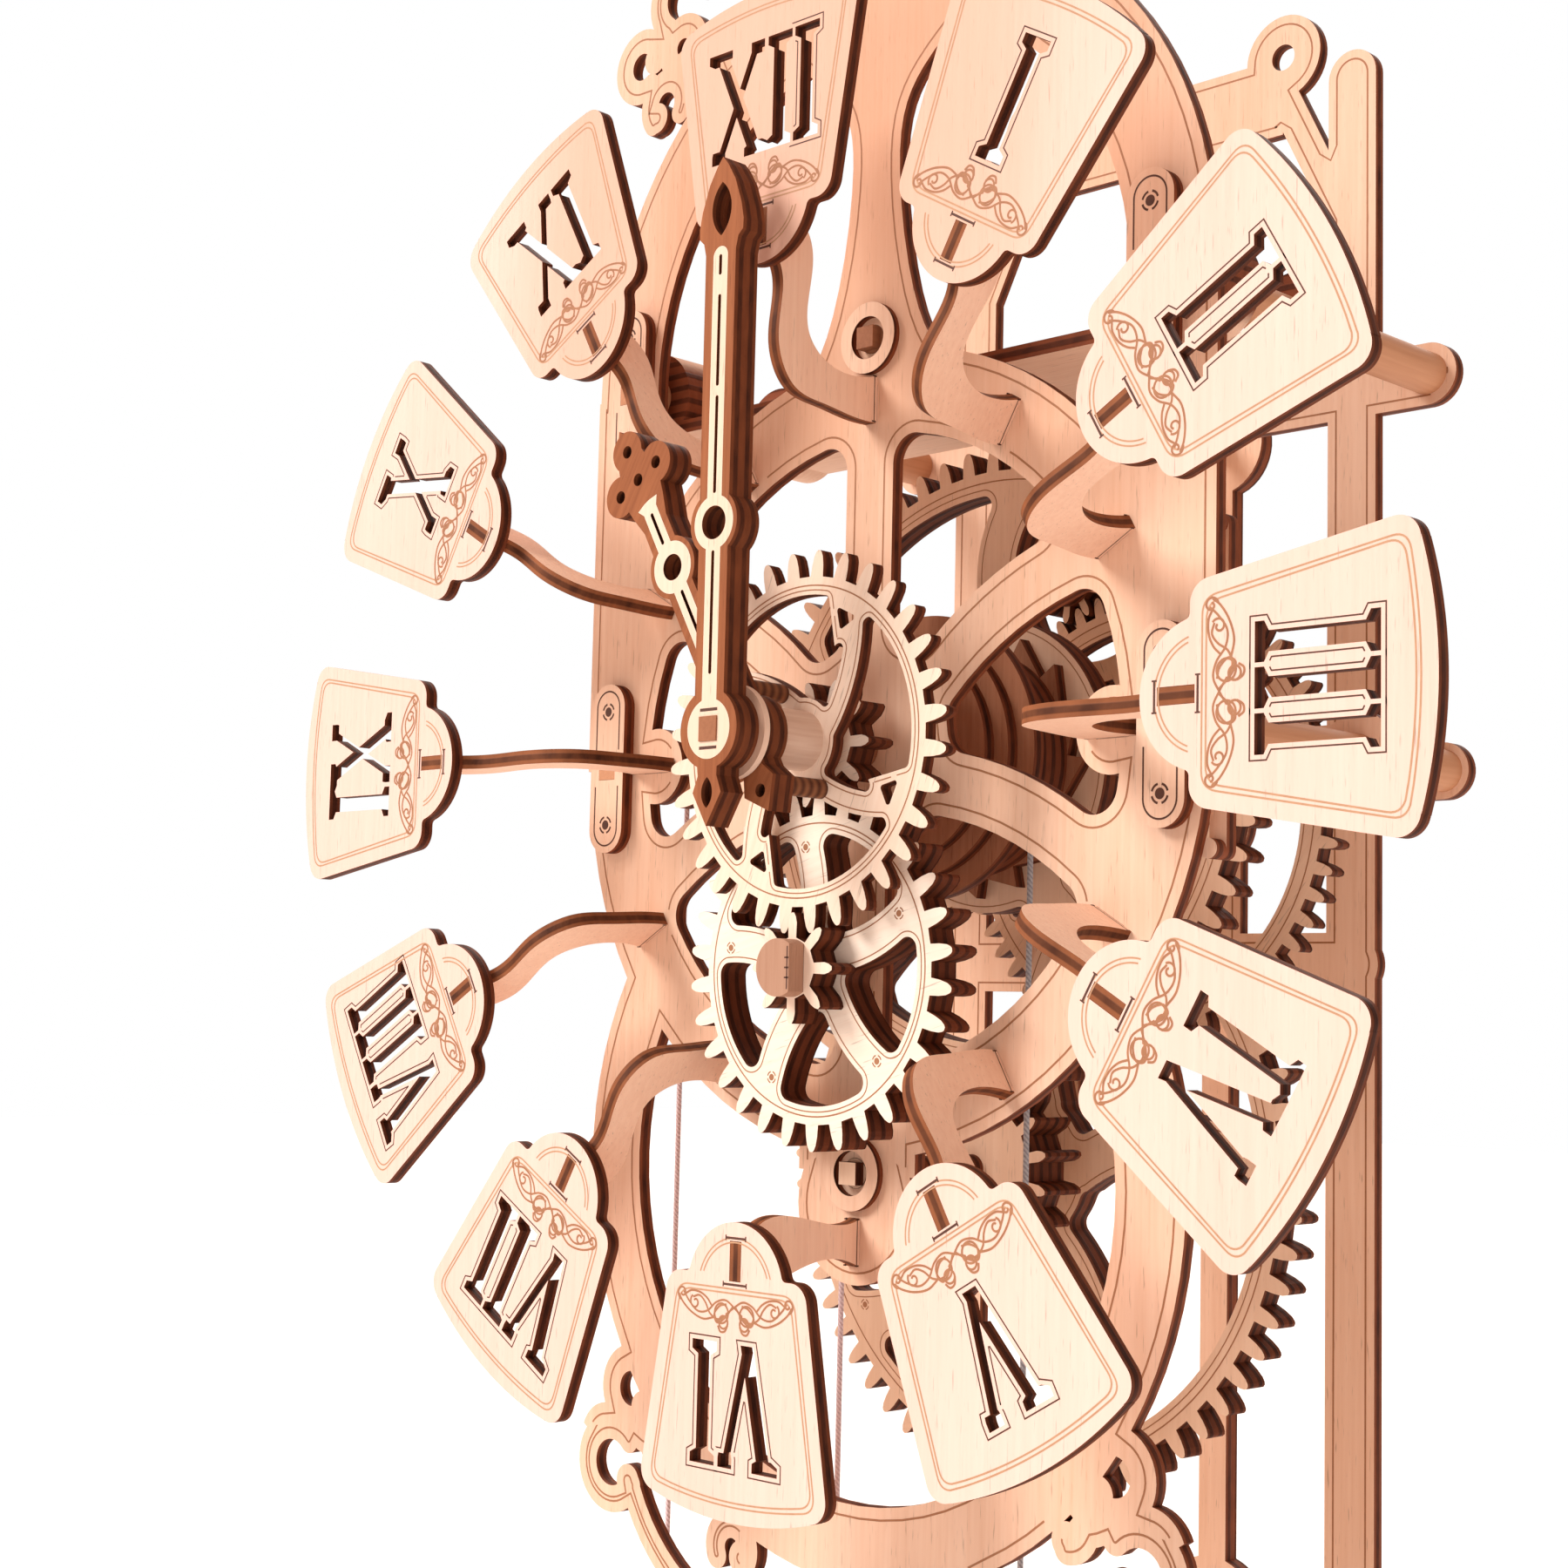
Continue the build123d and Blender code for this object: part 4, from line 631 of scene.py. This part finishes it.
# The numeral plates: flared boards with the numeral cut right through. A double
# line runs round each plate and along its tab, a fine line round the numeral,
# and a scrolled band crosses the foot of the plate.
plate_face = -0.043
mm = 0.001
hours = range(1, 13)
plate_wood = ((0.90, 0.625, 0.53, 1), (0.82, 0.525, 0.43, 1))
# The plates near the top of the dial get painted shade, browner than the rest.
plate_ply = cut_board("plate_ply", *plate_wood, *flank_burn, front=plate_face, top_shade=0.5)
wear(plate_ply, *[f"hour_plate_{n}" for n in hours])


def rounded(corners, radius, steps=8):
    """A closed outline whose corners are rounded by curves that start and end a
    radius from each corner and lean on it: (1-t)^2 A + 2t(1-t) B + t^2 C."""
    corners = np.asarray(corners, dtype=float)
    back, ahead = np.roll(corners, 1, axis=0) - corners, np.roll(corners, -1, axis=0) - corners
    start = corners + back / np.linalg.norm(back, axis=1)[:, None] * radius
    end = corners + ahead / np.linalg.norm(ahead, axis=1)[:, None] * radius
    t = np.linspace(0, 1, steps)[None, :, None]
    curve = (1 - t) ** 2 * start[:, None] + 2 * t * (1 - t) * corners[:, None] + t ** 2 * end[:, None]
    return curve.reshape(-1, 2)


def vine(points, steps=10):
    """A smooth curve through points: between two of them the cubic whose slope at
    each is half the step between its neighbours."""
    p = np.asarray(points, dtype=float)
    p = np.concatenate([[2 * p[0] - p[1]], p, [2 * p[-1] - p[-2]]])
    t = np.linspace(0, 1, steps, endpoint=False)[None, :, None]
    a, b, c, d = (p[n:len(p) - 3 + n, None] for n in range(4))
    cubic = 2 * b + (c - a) * t + (2 * a - 5 * b + 4 * c - d) * t ** 2 + (3 * b - a - 3 * c + d) * t ** 3
    return np.concatenate([(cubic / 2).reshape(-1, 2), p[-2:-1]])


def spiral(x, z, wide, narrow, start, sweep, steps=28):
    """A curl whose radius shrinks evenly from wide to narrow as it turns."""
    t = np.linspace(0, 1, steps)
    turn, radius = np.radians(start + sweep * t), wide + (narrow - wide) * t
    return np.column_stack([x + radius * np.cos(turn), z + radius * np.sin(turn)])


def plate_lines():
    """The lines of the plate for twelve, in millimetres from the dial's middle. The
    head of the frame line bows by the bow times 1 - (x / half its width)^2."""
    corner, bow, blend_tall = 2.0, 1.5, 3.0
    tab_z, tab_line_r = 71.28, 6.7
    parts = []
    for inset in (0.0, 0.55):
        foot, head, low, high = 71.0 + inset, 96.5 - inset, 10.55 - inset, 14.95 - inset
        loop = rounded([(-low, foot), (low, foot), (high, head), (-high, head)], corner)
        near_head = np.clip((loop[:, 1] - head + blend_tall) / blend_tall, 0, 1)
        loop[:, 1] += bow * near_head * (1 - (loop[:, 0] / high) ** 2)
        across = np.linspace(high - corner, corner - high, 17)
        top = np.column_stack([across, head + bow * (1 - (across / high) ** 2)])
        left_corner = len(loop) // 4 * 3
        loop = np.concatenate([loop[:left_corner - 1], top[1:-1], loop[left_corner:]])
        parts.append(drawn(loop, wide=0.22, closed=True))
        turn = (198 + inset * 4, 342 - inset * 4)
        parts.append(arc(0, tab_z, tab_line_r - inset, *turn, wide=0.2, steps=40))
    return parts


def slot_ticks():
    """A short burnt line with two feet at each end of the slot for the arm."""
    parts = []
    for level, half, foot in ((70.45, 2.1, 0.35), (64.6, 1.8, -0.35)):
        parts.append(drawn([(-half, level), (0, level), (half, level)], wide=0.3))
        for side in (-half, half):
            ends = [(side, level - foot), (side, level), (side, level + foot)]
            parts.append(drawn(ends, wide=0.2))
    return parts


def band_lines():
    """The scrolled band across the foot of a plate: its right half, then its mirror
    image. Vines leave a knot of small loops in the middle and end in curls."""
    line_wide = 0.27
    right = [
        vine([
            (-1.5, 74.3), (0, 73.3), (1.6, 72.5), (3.3, 72.9),
            (4.9, 74.1), (6.7, 74.3), (8.3, 73.2), (9.4, 72.0),
        ]),
        vine([
            (0.2, 73.2), (1.4, 74.4), (2.9, 75.0), (4.4, 74.4),
            (5.3, 73.1), (6.4, 72.3), (7.6, 72.6),
        ]),
        vine([(4.1, 73.4), (5.0, 72.5), (6.3, 71.9), (7.9, 71.8), (9.0, 72.3)]),
        vine([(3.6, 74.8), (5.6, 75.2), (7.7, 74.6), (9.4, 73.5), (10.3, 72.4)]),
        spiral(7.2, 73.2, wide=0.95, narrow=0.25, start=-60, sweep=380),
        spiral(9.6, 72.2, wide=0.95, narrow=0.2, start=75, sweep=-430),
        spiral(2.3, 74.2, wide=1.25, narrow=1.25, start=0, sweep=360),
        spiral(1.9, 75.3, wide=0.8, narrow=0.8, start=0, sweep=360),
        vine([(0.9, 74.0), (2.0, 75.0), (3.1, 75.4), (3.6, 74.4), (2.6, 73.3), (1.4, 73.0)]),
        vine([(1.1, 75.6), (1.6, 76.4), (2.4, 76.5), (2.9, 75.8)]),
    ]
    parts = [drawn(line, line_wide) for line in right]
    mirror = np.array([-1.0, 1.0])
    return parts + [drawn(line[::-1] * mirror, line_wide) for line in right]


def turned(across, up, hour):
    """Places for twelve, in millimetres, turned by 30 degrees an hour, in metres:
    x = across cos t + up sin t, and z = up cos t - across sin t from the middle."""
    turn = math.radians(30 * hour)
    x = across * math.cos(turn) + up * math.sin(turn)
    z = up * math.cos(turn) - across * math.sin(turn)
    return x * mm, z * mm + dial_z


def round_dial(parts):
    """Lines of the plate for twelve turned to each hour, on the plates' faces. Each
    line lies a thousandth of a millimetre above the one before, where they cross."""
    flat, faces = gathered(parts)
    above = np.repeat(np.arange(len(parts)) * 0.001 * mm, [len(corners) for corners, _ in parts])
    plates = []
    for hour in hours:
        corners = on_face(np.column_stack(turned(flat[:, 0], flat[:, 1], hour)), plate_face)
        corners[:, 1] -= above
        plates.append((corners, faces))
    return plates


numeral_edges = [
    rim_line(f"hour_plate_{n}", plate_face, inset=0.0006, wide=0.00018, least=0.02, most=0.09)
    for n in hours
]
engraving("plate_lines", round_dial(plate_lines()), line_tan, "root")
engraving("numeral_lines", numeral_edges + round_dial(slot_ticks()), line_dark, "root")
engraving("plate_scrolls", round_dial(band_lines()), line_brown, "root")


# The arms: twelve bent boards that stand on edge between the frame and the
# plates. A burnt line runs up both sides of each foot, close beside the frame.
# The arms' wood is paler than the other basswood: painted light that lifts the shade they stand in,
# between the frame and the plates.
arm_wood_painted_light = ((0.93, 0.66, 0.50, 1), (0.80, 0.49, 0.35, 1))
arm_burn = ((0.30, 0.10, 0.04, 1), scorch[1])
wear(cut_board("arm_ply_painted_light", *arm_wood_painted_light, *arm_burn, plane="arm"), *[f"plate_arm_{n}" for n in hours])


def arm_ticks():
    """On both sides of each arm, a line up the foot at one depth with a short tick
    near each end, in millimetres from the dial's middle. The foot reaches a share
    of the way to the plate's slot above and below its own middle. The sixth arm is
    almost straight, and its foot reaches shares of the slot's length."""
    depth, tick_half, tick_inset, arm_half = -21.5, 0.4, 0.15, 1.02
    slot_r, slot_long = 67.5, 5.0
    foot_r = {3: 42.0, 9: 42.0, 5: 49.4, 7: 49.4}
    parts = []
    for hour in hours:
        foot = foot_r.get(hour, 48.0)
        low, high = foot - 0.15 * (slot_r - foot), foot + 0.19 * (slot_r - foot)
        if hour == 6:
            low, high = slot_r - 0.92 * slot_long, slot_r + 0.36 * slot_long
        marks = [drawn([(depth, low), (depth, (low + high) / 2), (depth, high)], wide=0.16)]
        for level in (low + tick_inset, high - tick_inset):
            tick = [(depth + reach, level) for reach in (-tick_half, 0.0, tick_half)]
            marks.append(drawn(tick, wide=0.2))
        flat, faces = gathered(marks)
        for out in (-arm_half, arm_half):
            x, z = turned(out, flat[:, 1], hour)
            corners = np.column_stack([x, flat[:, 0] * mm, z])
            parts.append((corners, faces if out > 0 else faces[:, ::-1]))
    return parts


engraving("arm_ticks", arm_ticks(), line_dark, "root")


# The hands: walnut ply with a pale strip let into the front. The minute hand
# has a leaf-shaped eye, the hour hand a trefoil head, and both a small tail.
walnut = ((0.40, 0.140, 0.057, 1), (0.19, 0.056, 0.023, 1))
walnut_burn = ((0.19, 0.055, 0.021, 1), (0.03, 0.008, 0.005, 1))
pale_washer = (-0.0462, -0.0450, (0.84, 0.62, 0.49, 1), (0.70, 0.48, 0.36, 1))
walnut_up = cut_board("walnut_up", *walnut, *walnut_burn, front=-0.0502, band=pale_washer)
walnut_lean = cut_board("walnut_lean", *walnut, *walnut_burn, front=-0.045, lean=30.0)
inlay_wood = cut_board("inlay_wood", (0.86, 0.67, 0.53, 1), (0.77, 0.54, 0.39, 1), *walnut_burn)
wear(walnut_up, "minute_hand")
wear(walnut_lean, "hour_hand")
wear(inlay_wood, "minute_hand_inlay", "hour_hand_inlay")
hub_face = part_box("minute_hand_inlay")[0][1]
mark_half, mark_rise, mark_wide = 0.0016, 0.00245, 0.0004
hub_marks = [
    drawn([(x, dial_z + rise) for x in (-mark_half, 0.0, mark_half)], mark_wide)
    for rise in (-mark_rise, mark_rise)
]
engraving("hub_marks", laid(hub_marks, hub_face), line_dark, "centre")


# The pendulum behind the back frame, the wooden pulley in the loop of the cord's
# tail, and the two turned brass weights that the cord carries.
rod_board = cut_board("rod_board", *basswood, *scorch, front=0.0615)
wear(rod_board, "pendulum_rod", "pendulum_bob")
pulley_ply = cut_board("pulley_ply", *wheel_wood, *flank_burn, front=-0.0086)
wear(pulley_ply, "tension_pulley")


def turned_brass():
    """Brass turned on a lathe: fine rings across the axis, and a soft tarnish."""
    finish, start = new_finish("turned_brass")
    x, y, z = start.node("ShaderNodeTexCoord", out=3).parts()
    rings = start.cloud(start.vector(x * 20.0, y * 20.0, z * 9000.0))
    tarnish = start.cloud(start.vector(x, y, z), scale=140.0, detail=4.0).ramp(0.45, 0.75)
    colour = start.blend(tarnish * 0.6, (0.78, 0.55, 0.27, 1), (0.42, 0.26, 0.12, 1))
    rough = 0.24 + tarnish * 0.25
    return shaded(finish, colour, rough, rings, depth=0.00002, constants={"Metallic": 1.0})


wear(turned_brass(), "drive_weight", "tension_weight")
